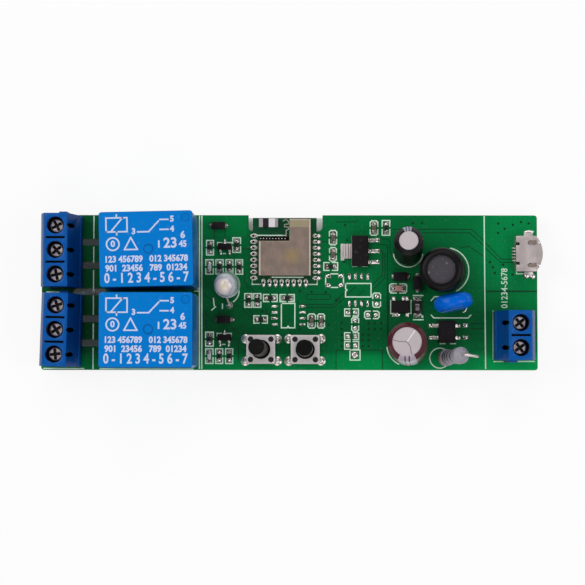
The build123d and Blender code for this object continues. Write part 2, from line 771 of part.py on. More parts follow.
def make_button(number, plane, lean):
    """One plunger with its flange and nub, and the snap dome that it presses."""
    along = Vector(math.sin(math.radians(lean[0])), math.sin(math.radians(lean[1])), 1)
    tilted = Plane(
        origin=plane.from_local_coords((0, 0, plunger_seat)),
        x_dir=Vector(1, 0, -along.X),
        z_dir=along,
    )
    with BuildPart(tilted) as plunger:
        Cylinder(plunger_radius, plunger_top - plunger_seat,
                 align=(Align.CENTER, Align.CENTER, Align.MIN))
        fillet(plunger.edges().sort_by(Axis.Z)[-1], radius=plunger_edge_radius)
        Cylinder(plunger_flange_radius, plunger_flange_height,
                 align=(Align.CENTER, Align.CENTER, Align.MIN))
        Cylinder(plunger_nub_radius, plunger_seat - button_floor - dome_height - dome_lift,
                 align=(Align.CENTER, Align.CENTER, Align.MAX))
    save(plunger, f"button_{number}_plunger")
    with BuildPart(plane.offset(button_floor)) as dome:
        side = Plane(origin=plane.from_local_coords((0, 0, button_floor)),
                     x_dir=plane.x_dir, z_dir=-plane.y_dir)
        with BuildSketch(side):
            with BuildLine():
                Polyline(
                    (0, dome_height - dome_sheet),
                    (dome_radius / 2, dome_height * dome_waist_share - dome_sheet),
                    (dome_radius - dome_sheet, 0),
                    (dome_radius, 0),
                    (dome_radius / 2, dome_height * dome_waist_share),
                    (0, dome_height),
                    close=True,
                )
            make_face()
        revolve(axis=Axis(side.origin, (0, 0, 1)))
    save(dome, f"button_{number}_dome")


for number, (plane, lean) in enumerate(zip(button_seats, plunger_leans), start=1):
    make_button(number, plane, lean)

# The socket at the supply end: a folded sheet shell round a moulded tongue
usb_front = board_length / 2 - usb_setback
usb_back_x = usb_front - usb_depth
usb_y = usb_share_y * board_width
usb_seat = Plane(origin=(usb_back_x, usb_y, board_thickness))
usb_mouth = Plane(origin=(usb_back_x, usb_y, board_thickness), x_dir=(0, 1, 0), z_dir=(1, 0, 0))


def socket_outline(inset):
    """The socket's section, wide at the top and narrowed at its lower corners."""
    half = usb_width / 2 - inset
    return [
        (-half + usb_corner, inset),
        (half - usb_corner, inset),
        (half, inset + usb_corner),
        (half, usb_height - inset),
        (-half, usb_height - inset),
        (-half, inset + usb_corner),
    ]


with BuildPart(usb_seat) as usb_shell:
    with BuildSketch(usb_mouth):
        with BuildLine():
            Polyline(*socket_outline(0), close=True)
        make_face()
        with BuildLine():
            Polyline(*socket_outline(usb_sheet), close=True)
        make_face(mode=Mode.SUBTRACT)
    extrude(amount=usb_depth)
    lip = Plane(origin=(usb_front, usb_y, board_thickness + usb_height - usb_sheet),
                x_dir=(1, 0, 0), z_dir=(0, -1, 0))
    with BuildSketch(lip):
        with BuildLine():
            Polyline(
                (0, 0),
                (usb_lip, usb_lip_rise),
                (usb_lip, usb_lip_rise + usb_sheet),
                (0, usb_sheet),
                close=True,
            )
        make_face()
    extrude(amount=usb_width / 2 - usb_sheet, both=True)
    with BuildSketch(usb_seat):
        with Locations((usb_depth, 0)):
            Rectangle(usb_lip + overrun, usb_width + overrun, align=(Align.MIN, Align.CENTER))
        with Locations((usb_depth + usb_lip - usb_lip_radius, 0)):
            Circle(usb_lip_radius, mode=Mode.SUBTRACT)
    extrude(amount=usb_height + usb_lip_rise + overrun, mode=Mode.SUBTRACT)
    with Locations((usb_depth - usb_window_inset, usb_window_offset, usb_height),
                   (usb_depth - usb_window_inset, -usb_window_offset, usb_height)):
        Box(usb_window_length, usb_window_width, 3 * usb_sheet, mode=Mode.SUBTRACT,
            align=(Align.MAX, Align.CENTER, Align.CENTER))
    with Locations((0, usb_slot_offset, usb_height), (0, -usb_slot_offset, usb_height)):
        Box(2 * usb_slot_length, usb_slot_width, 3 * usb_sheet, mode=Mode.SUBTRACT)
    with Locations((usb_tab_offset, usb_width / 2 - usb_sheet, 0)):
        Box(usb_tab_length, usb_tab_reach + usb_sheet, usb_sheet,
            align=(Align.CENTER, Align.MIN, Align.MIN))
        Box(usb_tab_length, usb_sheet, usb_height / 2, align=(Align.CENTER, Align.MIN, Align.MIN))
    with Locations((usb_tab_offset, -usb_width / 2 + usb_sheet, 0)):
        Box(usb_tab_length, usb_tab_reach + usb_sheet, usb_sheet,
            align=(Align.CENTER, Align.MAX, Align.MIN))
        Box(usb_tab_length, usb_sheet, usb_height / 2, align=(Align.CENTER, Align.MAX, Align.MIN))
save(usb_shell, "usb_shell")

tongue_level = usb_height / 2
usb_pin_places = [
    (index - (usb_pins - 1) / 2) * usb_pin_pitch for index in range(usb_pins)
]
with BuildPart(usb_seat) as usb_tongue:
    with BuildSketch(usb_mouth):
        with BuildLine():
            Polyline(*socket_outline(usb_sheet + seat_gap), close=True)
        make_face()
    extrude(amount=usb_back)
    with Locations((usb_back, 0, tongue_level)):
        Box(usb_tongue_length, usb_tongue_width, usb_tongue_thickness,
            align=(Align.MIN, Align.CENTER, Align.MIN))
    with Locations(*[(0, y, usb_sheet + 2 * seat_gap) for y in usb_pin_places]):
        Box(usb_pin_reach, usb_pin_width, usb_pin_thickness,
            align=(Align.MAX, Align.CENTER, Align.MIN))
    with Locations(*[(-usb_pin_reach, y, 0) for y in usb_pin_places]):
        Box(usb_pin_thickness, usb_pin_width, usb_sheet + 2 * seat_gap + usb_pin_thickness,
            align=(Align.MIN, Align.CENTER, Align.MIN))
save(usb_tongue, "usb_tongue")


def lead_route(base, offset, foot):
    """A lead's corners: inside the body, bent over its hole, and down through the board."""
    start = base.from_local_coords((offset, 0, wire_radius))
    return [start, Vector(foot.X, foot.Y, board_thickness + wire_radius),
            Vector(foot.X, foot.Y, -lead_reach)]


def lead_feet(share, pitch, turn=0.0):
    """The two lead holes either side of a place, along a line turned from X."""
    middle = spot(share)
    step = Vector(math.cos(math.radians(turn)), math.sin(math.radians(turn)), 0) * (pitch / 2)
    return [middle - step, middle + step]


def can_lift(radius, height, lean):
    """How far a leaning can stands off the board, so that its low edge clears it."""
    return radius * math.hypot(lean[0], lean[1]) / height + seat_gap


def make_capacitor(label, share, lean, radius, height, pitch):
    """A leaning can: rubber bung, grooved sleeve and scored end, on two leads."""
    lift = can_lift(radius, height, lean) + wire_stub
    base = leaning_seat(share, lean, height, lift)
    side = Plane(origin=base.origin, x_dir=base.x_dir, z_dir=-base.y_dir)
    with BuildPart(base) as can:
        with BuildSketch(side):
            with BuildLine():
                Polyline(
                    (0, 0),
                    (radius - can_groove_depth, 0),
                    (radius, can_groove_depth),
                    (radius, can_groove_height - can_groove_depth),
                    (radius - can_groove_depth, can_groove_height),
                    (radius, can_groove_height + can_groove_depth),
                    (radius, height - can_rim_radius),
                    (radius - can_rim_radius, height),
                    (radius - can_rim_width, height),
                    (radius - can_rim_width, height - can_top_recess),
                    (0, height - can_top_recess),
                    close=True,
                )
            make_face()
        revolve(axis=Axis(base.origin, base.z_dir))
        for end, foot in zip((-1, 1), lead_feet(share, pitch)):
            with BuildLine() as path:
                FilletPolyline(*lead_route(base, end * pitch / 2, foot), radius=wire_bend)
            with BuildSketch(Plane(origin=path.line @ 0, z_dir=path.line % 0)):
                Circle(wire_radius)
            sweep(path=path.line)
    save(can, label)


make_capacitor("output_capacitor", small_can_share, small_can_lean, small_can_radius,
               small_can_height, small_can_pitch)
make_capacitor("input_capacitor", large_can_share, large_can_lean, large_can_radius,
               large_can_height, large_can_pitch)


def make_inductor(label, share, lean, radius, height, pitch):
    """A drum core in a shrunk sleeve that leaves the end of the drum bare."""
    lift = can_lift(radius, height, lean) + wire_stub
    base = leaning_seat(share, lean, height, lift)
    side = Plane(origin=base.origin, x_dir=base.x_dir, z_dir=-base.y_dir)
    with BuildPart(base) as drum:
        with BuildSketch(side):
            with BuildLine():
                Polyline(
                    (coil_core_radius, height - coil_core_recess),
                    (0, height - coil_core_recess),
                    (0, 0),
                    (radius - coil_can_shoulder / 2, 0),
                    (radius, coil_can_shoulder / 2),
                    (radius, height - coil_can_shoulder),
                )
                RadiusArc((radius, height - coil_can_shoulder),
                          (radius - coil_can_shoulder, height), -coil_can_shoulder)
                Polyline((radius - coil_can_shoulder, height), (coil_core_radius, height),
                         (coil_core_radius, height - coil_core_recess))
            make_face()
        revolve(axis=Axis(base.origin, base.z_dir))
        for end, foot in zip((-1, 1), lead_feet(share, pitch)):
            with BuildLine() as path:
                FilletPolyline(*lead_route(base, end * pitch / 2, foot), radius=wire_bend)
            with BuildSketch(Plane(origin=path.line @ 0, z_dir=path.line % 0)):
                Circle(wire_radius)
            sweep(path=path.line)
    save(drum, label)


make_inductor("power_inductor", coil_can_share, coil_can_lean, coil_can_radius,
              coil_can_height, coil_can_pitch)

# The dipped disc stands on edge, turned a little and leaning to the antenna edge
varistor_across = Vector(math.cos(math.radians(varistor_turn)),
                         math.sin(math.radians(varistor_turn)), 0)
varistor_up = (Vector(-varistor_across.Y, varistor_across.X, 0) * varistor_lean
               + Vector(0, 0, 1)).normalized()
varistor_face = varistor_across.cross(varistor_up)
varistor_foot = spot(varistor_share) + Vector(0, 0, board_thickness)
varistor_middle = varistor_foot + varistor_up * (varistor_stub + varistor_radius)
varistor_plane = Plane(origin=varistor_middle, x_dir=varistor_across, z_dir=varistor_face)
with BuildPart(varistor_plane) as varistor_disc:
    Cylinder(varistor_radius, varistor_thickness)
    fillet(varistor_disc.edges().filter_by(GeomType.CIRCLE), radius=varistor_edge)
    varistor_drop = math.sqrt(varistor_radius**2 - (varistor_pitch / 2)**2)
    for end, foot in zip((-1, 1), lead_feet(varistor_share, varistor_pitch, varistor_turn)):
        start = varistor_plane.from_local_coords((end * varistor_pitch / 2,
                                                  varistor_edge - varistor_drop, 0))
        with BuildLine() as path:
            FilletPolyline(start, Vector(foot.X, foot.Y, board_thickness + wire_radius),
                           Vector(foot.X, foot.Y, -lead_reach), radius=wire_bend)
        with BuildSketch(Plane(origin=path.line @ 0, z_dir=path.line % 0)):
            Circle(wire_radius)
        sweep(path=path.line)
save(varistor_disc, "varistor_disc")

# The standing resistor leans to the supply end and its upper wire comes back down
resistor_seat = leaning_seat(resistor_share, resistor_lean, resistor_lean_height, resistor_lift)
resistor_top = resistor_seat.from_local_coords((0, 0, resistor_length))
resistor_side = Plane(origin=resistor_seat.origin, x_dir=resistor_seat.x_dir,
                      z_dir=-resistor_seat.y_dir)
resistor_cap_bevel = resistor_cap_radius / 2
with BuildPart(resistor_seat) as fusible_resistor:
    with BuildSketch(resistor_side):
        with BuildLine():
            Polyline(
                (0, 0),
                (resistor_cap_radius - resistor_cap_bevel, 0),
                (resistor_cap_radius, resistor_cap_bevel),
                (resistor_cap_radius, resistor_cap_length),
                (resistor_radius, resistor_cap_length + resistor_cap_radius - resistor_radius),
                (resistor_radius, resistor_length - resistor_cap_length
                 - resistor_cap_radius + resistor_radius),
                (resistor_cap_radius, resistor_length - resistor_cap_length),
                (resistor_cap_radius, resistor_length - resistor_cap_bevel),
                (resistor_cap_radius - resistor_cap_bevel, resistor_length),
                (0, resistor_length),
                close=True,
            )
        make_face()
    revolve(axis=Axis(resistor_seat.origin, resistor_seat.z_dir))
    near_foot = spot(resistor_share)
    far_foot = spot(resistor_far_share)
    with BuildLine() as near_path:
        FilletPolyline(*lead_route(resistor_seat, 0, near_foot), radius=wire_bend)
    with BuildSketch(Plane(origin=near_path.line @ 0, z_dir=near_path.line % 0)):
        Circle(wire_radius)
    sweep(path=near_path.line)
    crest = resistor_top + resistor_seat.z_dir * (2 * resistor_bend)
    with BuildLine() as far_path:
        FilletPolyline(
            resistor_top - resistor_seat.z_dir * wire_radius,
            crest,
            Vector(far_foot.X, far_foot.Y, crest.Z - 2 * resistor_bend),
            Vector(far_foot.X, far_foot.Y, -lead_reach),
            radius=resistor_bend,
        )
    with BuildSketch(Plane(origin=far_path.line @ 0, z_dir=far_path.line % 0)):
        Circle(wire_radius)
    sweep(path=far_path.line)
save(fusible_resistor, "fusible_resistor")

# The status lamp stands off the board on its two bent leads
led_seat = leaning_seat(led_share, led_lean, led_height, led_lift)
led_side = Plane(origin=led_seat.origin, x_dir=led_seat.x_dir, z_dir=-led_seat.y_dir)
with BuildPart(led_seat) as status_led:
    with BuildSketch(led_side):
        with BuildLine():
            Polyline(
                (0, led_height),
                (0, 0),
                (led_flange_radius, 0),
                (led_flange_radius, led_flange_height),
                (led_radius, led_flange_height),
                (led_radius, led_height - led_radius),
            )
            RadiusArc((led_radius, led_height - led_radius), (0, led_height), -led_radius)
        make_face()
    revolve(axis=Axis(led_seat.origin, led_seat.z_dir))
    back_foot = spot(led_share)
    front_foot = spot(led_front_share)
    for start, foot in (
        (led_seat.from_local_coords((led_lead_side, led_lead_offset, wire_radius)), back_foot),
        (led_seat.from_local_coords((-led_lead_side, -led_lead_offset, wire_radius)), front_foot),
    ):
        with BuildLine() as path:
            FilletPolyline(start, Vector(foot.X, foot.Y, board_thickness + wire_radius),
                           Vector(foot.X, foot.Y, -lead_reach), radius=wire_bend)
        with BuildSketch(Plane(origin=path.line @ 0, z_dir=path.line % 0)):
            Circle(led_lead_radius)
        sweep(path=path.line)
save(status_led, "status_led")


def gull_lead(width, length, x, y, turn, height):
    """One folded lead: a shoulder out of the body, a riser and a foot on the board."""
    with Locations(Location((x, y, 0), (0, 0, turn))):
        Box(length, width, lead_sheet, align=(Align.MIN, Align.CENTER, Align.MIN))
        Box(lead_sheet, width, height / 2, align=(Align.MIN, Align.CENTER, Align.MIN))


def moulded_body(size):
    """A package body with a little draft all round above and below its leads."""
    length, width, height = size
    with Locations((0, 0, seat_gap)):
        Box(length, width, height - seat_gap, align=(Align.CENTER, Align.CENTER, Align.MIN))


with BuildPart(seat(rectifier_share)) as bridge_rectifier:
    moulded_body(rectifier_size)
    chamfer(bridge_rectifier.faces().sort_by(Axis.Z)[-1].edges(), length=body_slope)
    for row in (-1, 1):
        for side, turn in ((1, 0), (-1, 180)):
            gull_lead(rectifier_lead_width, rectifier_lead_reach, side * rectifier_size[0] / 2,
                      row * rectifier_pitch / 2, turn, rectifier_size[2])
save(bridge_rectifier, "bridge_rectifier")

with BuildPart(seat(regulator_share)) as voltage_regulator:
    moulded_body(regulator_size)
    chamfer(voltage_regulator.faces().sort_by(Axis.Z)[-1].edges(), length=body_slope)
    for row in (-1, 0, 1):
        gull_lead(regulator_lead_width, regulator_lead_reach, regulator_size[0] / 2,
                  row * regulator_pitch, 0, regulator_size[2])
    gull_lead(regulator_tab_width, regulator_lead_reach, -regulator_size[0] / 2, 0, 180,
              regulator_size[2])
save(voltage_regulator, "voltage_regulator")

with BuildPart(seat(driver_share)) as power_chip:
    moulded_body(driver_size)
    chamfer(power_chip.faces().sort_by(Axis.Z)[-1].edges(), length=body_slope)
    for share in driver_lead_offsets_share:
        gull_lead(driver_lead_width, driver_lead_reach, share * driver_size[0],
                  driver_size[1] / 2, 90, driver_size[2])
    gull_lead(driver_wide_lead, driver_lead_reach, driver_lead_offsets_share[0] * driver_size[0]
              + driver_lead_width / 2, -driver_size[1] / 2, -90, driver_size[2])
    gull_lead(driver_lead_width, driver_lead_reach, driver_lead_offsets_share[2] * driver_size[0],
              -driver_size[1] / 2, -90, driver_size[2])
save(power_chip, "power_chip")

transistor_seats = [seat(share) for share in transistor_shares]
with BuildPart(*transistor_seats) as driver_transistors:
    moulded_body(transistor_size)
    gull_lead(transistor_lead_width, transistor_lead_reach, 0, transistor_size[1] / 2, 90,
              transistor_size[2])
    for side in (-1, 1):
        gull_lead(transistor_lead_width, transistor_lead_reach, side * transistor_lead_offset,
                  -transistor_size[1] / 2, -90, transistor_size[2])
save(driver_transistors, "driver_transistors")


def add_diodes(size):
    """Diode bodies with one folded lead at each end."""
    moulded_body(size)
    for side, turn in ((1, 0), (-1, 180)):
        gull_lead(diode_lead_width, diode_lead_reach, side * size[0] / 2, 0, turn, size[2])


with BuildPart(*[seat(share) for share in signal_diode_shares]) as signal_diodes:
    add_diodes(signal_diode_size)
with BuildPart(*[seat(share, share[2]) for share in power_diode_shares]) as power_diodes:
    add_diodes(power_diode_size)
with BuildPart() as diodes:
    add(signal_diodes.part)
    add(power_diodes.part)
save(diodes, "diodes")


def add_chips(size):
    """Chip parts: a body between two plated ends that stand a little proud of it."""
    length, width, height = size
    with Locations((0, 0, chip_cap_skin)):
        Box(length - chip_cap_length, width - 2 * chip_cap_skin, height - 2 * chip_cap_skin,
            align=(Align.CENTER, Align.CENTER, Align.MIN))
    for side in (-1, 1):
        with Locations((side * (length - chip_cap_length) / 2, 0, 0)):
            Box(chip_cap_length, width, height, align=(Align.CENTER, Align.CENTER, Align.MIN))


upright_resistors = [seat(share, 90.0) for share in upright_resistor_shares]
level_resistors = [seat(share) for share in level_resistor_shares]
with BuildPart(*upright_resistors, *level_resistors) as small_resistors:
    add_chips(chip_size)
with BuildPart(seat(sense_share, sense_share[2])) as sense_resistor:
    add_chips(sense_size)
with BuildPart() as chip_resistors:
    add(small_resistors.part)
    add(sense_resistor.part)
save(chip_resistors, "chip_resistors")

with BuildPart(*[seat(share, 90.0) for share in lamp_shares]) as chip_leds:
    add_chips(lamp_size)
save(chip_leds, "chip_leds")

with BuildPart(*[seat(share, 90.0) for share in upright_capacitor_shares]) as small_capacitors:
    add_chips(capacitor_size)
with BuildPart(seat(filter_share, filter_share[2])) as filter_capacitor:
    add_chips(filter_size)
with BuildPart() as chip_capacitors:
    add(small_capacitors.part)
    add(filter_capacitor.part)
save(chip_capacitors, "chip_capacitors")

# The board itself, with a hole for every lead that passes through it
round_holes = (
    lead_feet(small_can_share, small_can_pitch)
    + lead_feet(large_can_share, large_can_pitch)
    + lead_feet(coil_can_share, coil_can_pitch)
    + lead_feet(varistor_share, varistor_pitch, varistor_turn)
    + [near_foot, far_foot]
)
component_side = Plane.XY.offset(board_thickness)
with BuildPart() as circuit_board:
    with BuildSketch():
        RectangleRounded(board_length, board_width, board_corner_radius)
    extrude(amount=board_thickness)
    with BuildSketch():
        with Locations((antenna_notch_share * board_length, board_width / 2)):
            RectangleRounded(antenna_notch_width, 2 * antenna_notch_depth, antenna_notch_radius)
        with Locations(*[(isolation_slot_x_share * board_length, share * board_width)
                         for share in isolation_slot_y_shares]):
            SlotOverall(isolation_slot_length, isolation_slot_width)
        with Locations(*round_holes):
            Circle(wire_radius + hole_gap)
        with Locations(back_foot, front_foot):
            Circle(led_lead_radius + hole_gap)
    extrude(amount=board_thickness, mode=Mode.SUBTRACT)
    with BuildSketch(*[pole.offset(-board_thickness) for pole in poles]):
        with Locations((leg_x, 0)):
            Rectangle(leg_thickness + 2 * hole_gap, tail_width + 2 * hole_gap)
    extrude(amount=board_thickness, mode=Mode.SUBTRACT)
    with BuildSketch(*[plane.offset(-board_thickness) for plane in relay_seats]):
        with Locations(*contact_pins, common_pin):
            Rectangle(strip_thickness + 2 * hole_gap, relay_pin_width + 2 * hole_gap)
        with Locations(*coil_pins):
            Rectangle(relay_coil_pin_width + 2 * hole_gap, relay_coil_pin_width + 2 * hole_gap)
    extrude(amount=board_thickness, mode=Mode.SUBTRACT)
    with BuildSketch(*[plane.offset(-board_thickness) for plane in button_seats]):
        with Locations(*button_legs):
            Rectangle(button_leg_thickness + 2 * hole_gap, button_leg_width + 2 * hole_gap)
    extrude(amount=board_thickness, mode=Mode.SUBTRACT)
save(circuit_board, "circuit_board")
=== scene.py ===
import math

import bpy
from mathutils import Matrix, Vector


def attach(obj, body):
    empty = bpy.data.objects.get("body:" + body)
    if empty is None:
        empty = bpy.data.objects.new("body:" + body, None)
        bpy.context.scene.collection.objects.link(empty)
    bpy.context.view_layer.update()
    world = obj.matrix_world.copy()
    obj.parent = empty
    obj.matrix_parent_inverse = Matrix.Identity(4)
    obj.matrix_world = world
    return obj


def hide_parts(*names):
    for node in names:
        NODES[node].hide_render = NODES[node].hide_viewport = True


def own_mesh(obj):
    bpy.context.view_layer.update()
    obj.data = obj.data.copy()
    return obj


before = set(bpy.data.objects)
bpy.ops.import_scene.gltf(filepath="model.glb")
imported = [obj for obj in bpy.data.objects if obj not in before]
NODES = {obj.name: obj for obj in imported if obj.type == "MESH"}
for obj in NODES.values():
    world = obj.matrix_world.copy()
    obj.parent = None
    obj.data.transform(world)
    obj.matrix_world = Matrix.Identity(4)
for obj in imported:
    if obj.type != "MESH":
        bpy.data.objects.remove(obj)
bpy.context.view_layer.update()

# Lengths here are in millimetres and angles in degrees; MM takes a length to Blender's metres
MM = 0.001
BOARD_TOP = 1.6
HALF_BOARD_LENGTH = 52.1
HALF_BOARD_WIDTH = 16.3
MODULE_TOP = 2.4
RELAY_TOP = 16.875  # a hair under the solid's own top, so that the prints stay in the box
CAD_RELAY_TOP = 16.9
CHIP_CORE_DROP = 0.042
PIXELS_PER_MM = 4.755

# The stage
FLOOR_LEVEL = -1.92
FLOOR_GLOW = 0.86
FLOOR_GLOW_UNDER = 0.02
SKY_STRENGTH = 0.04
SKY_IN_GLOSS = 0.32
WHITE = (1, 1, 1, 1)

# The camera, as it stood over the board: place, tilt and roll, and its lens
CAMERA_PLACE = Vector((0.631, -12.574, 301.6))
CAMERA_TILT = math.radians(2.4)
CAMERA_ROLL = math.radians(0.05)
CAMERA_LENS = 87.86
FRAME_PIXELS = 585
SENSOR = 36.0


def seen(u, v, level=BOARD_TOP):
    """The place, at that level, which the camera sees at pixel u, v."""
    reach = CAMERA_LENS / SENSOR * FRAME_PIXELS
    ahead = Vector((0, math.sin(CAMERA_TILT), -math.cos(CAMERA_TILT)))
    up = Vector((0, math.cos(CAMERA_TILT), math.sin(CAMERA_TILT)))
    ray = ahead + Vector((1, 0, 0)) * ((u - FRAME_PIXELS / 2) / reach) - up * ((v - FRAME_PIXELS / 2) / reach)
    return CAMERA_PLACE + ray * ((level - CAMERA_PLACE.z) / ray.z)


def spot(u, v, level=BOARD_TOP, rise=0.0):
    """The point seen at a pixel, raised by rise, as three numbers."""
    point = seen(u, v, level)
    return point.x, point.y, level + rise


def patch(u0, v0, u1, v1, height, level=BOARD_TOP, rise=0.0):
    """A box for blocks() over the rectangle between two pixels."""
    a, b = seen(u0, v0, level), seen(u1, v1, level)
    return (a.x + b.x) / 2, (a.y + b.y) / 2, level + rise, abs(b.x - a.x), abs(b.y - a.y), height, 0


def pairs(numbers):
    return list(zip(numbers[::2], numbers[1::2]))


def run_of(*pixels, level=BOARD_TOP):
    """A run of points on a face, seen at these pixels: u, v, u, v and so on."""
    return [spot(u, v, level)[:2] for u, v in pairs(pixels)]


def box_of(points):
    """The lowest and highest corner of some points."""
    return [Vector([limit(p[i] for p in points) for i in range(3)]) for limit in (min, max)]


def extent(source):
    """The lowest and highest corner of a CAD node."""
    return box_of([v.co / MM for v in NODES[source].data.vertices])


# Ways of working


def put(thing, **settings):
    for key, value in settings.items():
        setattr(thing, key, value)
    return thing


def settle():
    """Back to object mode with nothing selected."""
    if bpy.context.mode != "OBJECT":
        bpy.ops.object.mode_set(mode="OBJECT")
    bpy.ops.object.select_all(action="DESELECT")


def choose(*objects):
    settle()
    for each in objects:
        each.select_set(True)
    bpy.context.view_layer.objects.active = objects[0]


def edit(piece):
    choose(piece)
    bpy.ops.object.mode_set(mode="EDIT")
    bpy.ops.mesh.select_all(action="DESELECT")


def pick(piece, test, kind="FACE"):
    """In edit mode: selects the faces, edges or vertices whose middle and direction pass the test."""
    bpy.ops.mesh.select_all(action="DESELECT")
    bpy.ops.mesh.select_mode(type=kind)
    bpy.ops.object.mode_set(mode="OBJECT")
    mesh = piece.data
    if kind == "FACE":
        found = [(face, face.center, face.normal) for face in mesh.polygons]
    elif kind == "VERT":
        found = [(vertex, vertex.co, vertex.normal) for vertex in mesh.vertices]
    else:
        ends = [[mesh.vertices[i].co for i in edge.vertices] for edge in mesh.edges]
        found = [(edge, (a + b) / 2, (b - a).normalized()) for edge, (a, b) in zip(mesh.edges, ends)]
    for each, middle, direction in found:
        each.select = bool(test(middle / MM, direction))
    bpy.ops.object.mode_set(mode="EDIT")


def named(name, piece=None):
    piece = piece or bpy.context.view_layer.objects.active
    piece.name = piece.data.name = name
    return piece


def place(piece):
    """Puts the piece's place into its mesh."""
    choose(piece)
    bpy.ops.object.transform_apply(location=True, rotation=True, scale=True)
    return piece


def moved(piece, x, y, z, turn=0.0, size=(1, 1, 1)):
    """Sizes a piece made at the origin, turns it about Z and moves it, in its mesh."""
    piece.data.transform(Matrix.Translation((x * MM, y * MM, z * MM)) @ Matrix.Rotation(math.radians(turn), 4, "Z")
                         @ Matrix.Diagonal((*size, 1)))
    return piece


def modified(piece, kind, **settings):
    """Applies one modifier with these settings."""
    modifier = put(piece.modifiers.new(kind, kind), **settings)
    choose(piece)
    bpy.ops.object.modifier_apply(modifier=modifier.name)


def smooth(piece, angle=35):
    choose(piece)
    bpy.ops.object.shade_smooth_by_angle(angle=math.radians(angle))
    return piece


def rounded(piece, width, segments=2, angle=40.0):
    """Softens the piece's edges."""
    modified(piece, "BEVEL", width=width * MM, segments=segments, limit_method="ANGLE",
             angle_limit=math.radians(angle))
    return smooth(piece)


def joined(name, pieces):
    choose(*pieces)
    if len(pieces) > 1:
        bpy.ops.object.join()
    return named(name)


def copies(name, piece, spots):
    """Copies of one small piece as one piece: each spot is x, y, z, a turn about Z and, where given, a size."""
    made = []
    for place_and_turn in spots:
        each = piece.copy()
        each.data = piece.data.copy()
        bpy.context.collection.objects.link(each)
        made.append(moved(each, *place_and_turn))
    bpy.data.objects.remove(piece)
    return joined(name, made)


def cut(piece, *cutters):
    """Takes the cutters' shapes out of a piece, and the cutters away."""
    for cutter in cutters:
        modified(piece, "BOOLEAN", operation="DIFFERENCE", object=cutter)
        bpy.data.objects.remove(cutter)


def round_bar(name, x, y, z, radius, height, steps=32):
    """An upright cylinder with its foot at z."""
    settle()
    bpy.ops.mesh.primitive_cylinder_add(vertices=steps, radius=radius * MM, depth=height * MM,
                                        location=(x * MM, y * MM, (z + height / 2) * MM))
    return place(named(name))


def beads(name, places):
    """Half beads of solder: x, y, z, half length, half width, height and turn."""
    settle()
    bpy.ops.mesh.primitive_uv_sphere_add(segments=14, ring_count=8, radius=MM)
    bead = named(name + "_first")
    edit(bead)
    pick(bead, lambda middle, normal: middle.z < -0.1, "VERT")
    bpy.ops.mesh.delete(type="VERT")
    choose(bead)
    bpy.ops.object.shade_smooth()
    return copies(name, bead, [(x, y, z, turn, size) for x, y, z, *size, turn in places])


def blocks(name, boxes):
    """One piece of many small blocks: x, y, z of the foot, length, width, height and turn."""
    settle()
    for index, (x, y, z, length, width, height, turn) in enumerate(boxes):
        bpy.ops.mesh.primitive_cube_add(
            size=MM, location=(x * MM, y * MM, (z + height / 2) * MM),
            rotation=(0, 0, math.radians(turn)), scale=(length, width, height))
        if index == 0:
            piece = place(named(name))
            edit(piece)
    settle()
    return piece


def block(name, length, width, height, soft):
    """One small block with its foot at the origin and softened edges."""
    return rounded(blocks(name, [(0, 0, 0, length, width, height, 0)]), soft)


def strokes(name, runs, width=0.24, level=BOARD_TOP, height=0.025):
    """Printed lines along runs of points, as one thin piece, with each line a hair higher than the last."""
    boxes = []
    for run in runs:
        for (x0, y0), (x1, y1) in zip(run, run[1:]):
            boxes.append(((x0 + x1) / 2, (y0 + y1) / 2, level, math.hypot(x1 - x0, y1 - y0) + width * 0.9, width,
                          height + len(boxes) % 3 * 0.0015, math.degrees(math.atan2(y1 - y0, x1 - x0))))
    return blocks(name, boxes)


def arc(centre, radius, start, end, steps=24):
    """A run of points on a circle, from one angle to another."""
    angles = [math.radians(start + (end - start) * i / steps) for i in range(steps + 1)]
    return [(centre[0] + radius * math.cos(angle), centre[1] + radius * math.sin(angle)) for angle in angles]


def finished(piece, materials, stands_for=None, part_of=None, body="board"):
    """Gives the piece its body and materials, and hides the CAD node that it stands for.

    Where it has several materials, part_of gives each face's number from its middle and its normal.
    """
    piece.data.materials.clear()
    for material in materials if part_of else (materials,):
        piece.data.materials.append(material)
    if part_of:
        for face in piece.data.polygons:
            face.material_index = int(part_of(face.center / MM, face.normal))
    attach(piece, body)
    if stands_for:
        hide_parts(stands_for)
    return piece


def likeness(source, name=None, width=0.0, segments=2, angle=40.0):
    """A copy of a CAD solid with its triangles merged into plain faces and its edges softened."""
    piece = NODES[source].copy()
    piece.data = NODES[source].data.copy()
    piece.parent = None
    bpy.context.collection.objects.link(piece)
    named(name or source + "_looks", piece)
    edit(piece)
    bpy.ops.mesh.select_all(action="SELECT")
    bpy.ops.mesh.remove_doubles(threshold=1e-6)
    if width:
        bpy.ops.mesh.dissolve_limited(angle_limit=math.radians(1.0))
    else:
        bpy.ops.mesh.tris_convert_to_quads(face_threshold=math.radians(3), shape_threshold=math.radians(60))
    choose(piece)
    bpy.ops.mesh.customdata_custom_splitnormals_clear()
    return rounded(piece, width, segments, angle) if width else smooth(piece)


def looks(source, materials, part_of=None, name=None, softening=()):
    """Stands a likeness with its finish in the place of a CAD node."""
    return finished(likeness(source, name, *softening), materials, source, part_of)


def printed_text(text, x, y, size, level, turn=0.0, height=0.03, bold=0.0, squeeze=1.0):
    """Plain printed characters, as a thin mesh."""
    settle()
    bpy.ops.object.text_add(location=(0, 0, 0))
    put(bpy.context.object.data, body=text, size=size * MM, extrude=height / 2 * MM, offset=bold * MM,
        align_x="CENTER", align_y="CENTER", resolution_u=3)
    choose(bpy.context.object)
    bpy.ops.object.convert(target="MESH")
    return moved(bpy.context.object, x, y, level + height / 2, turn, (squeeze, 1, 1))


# Shader nodes


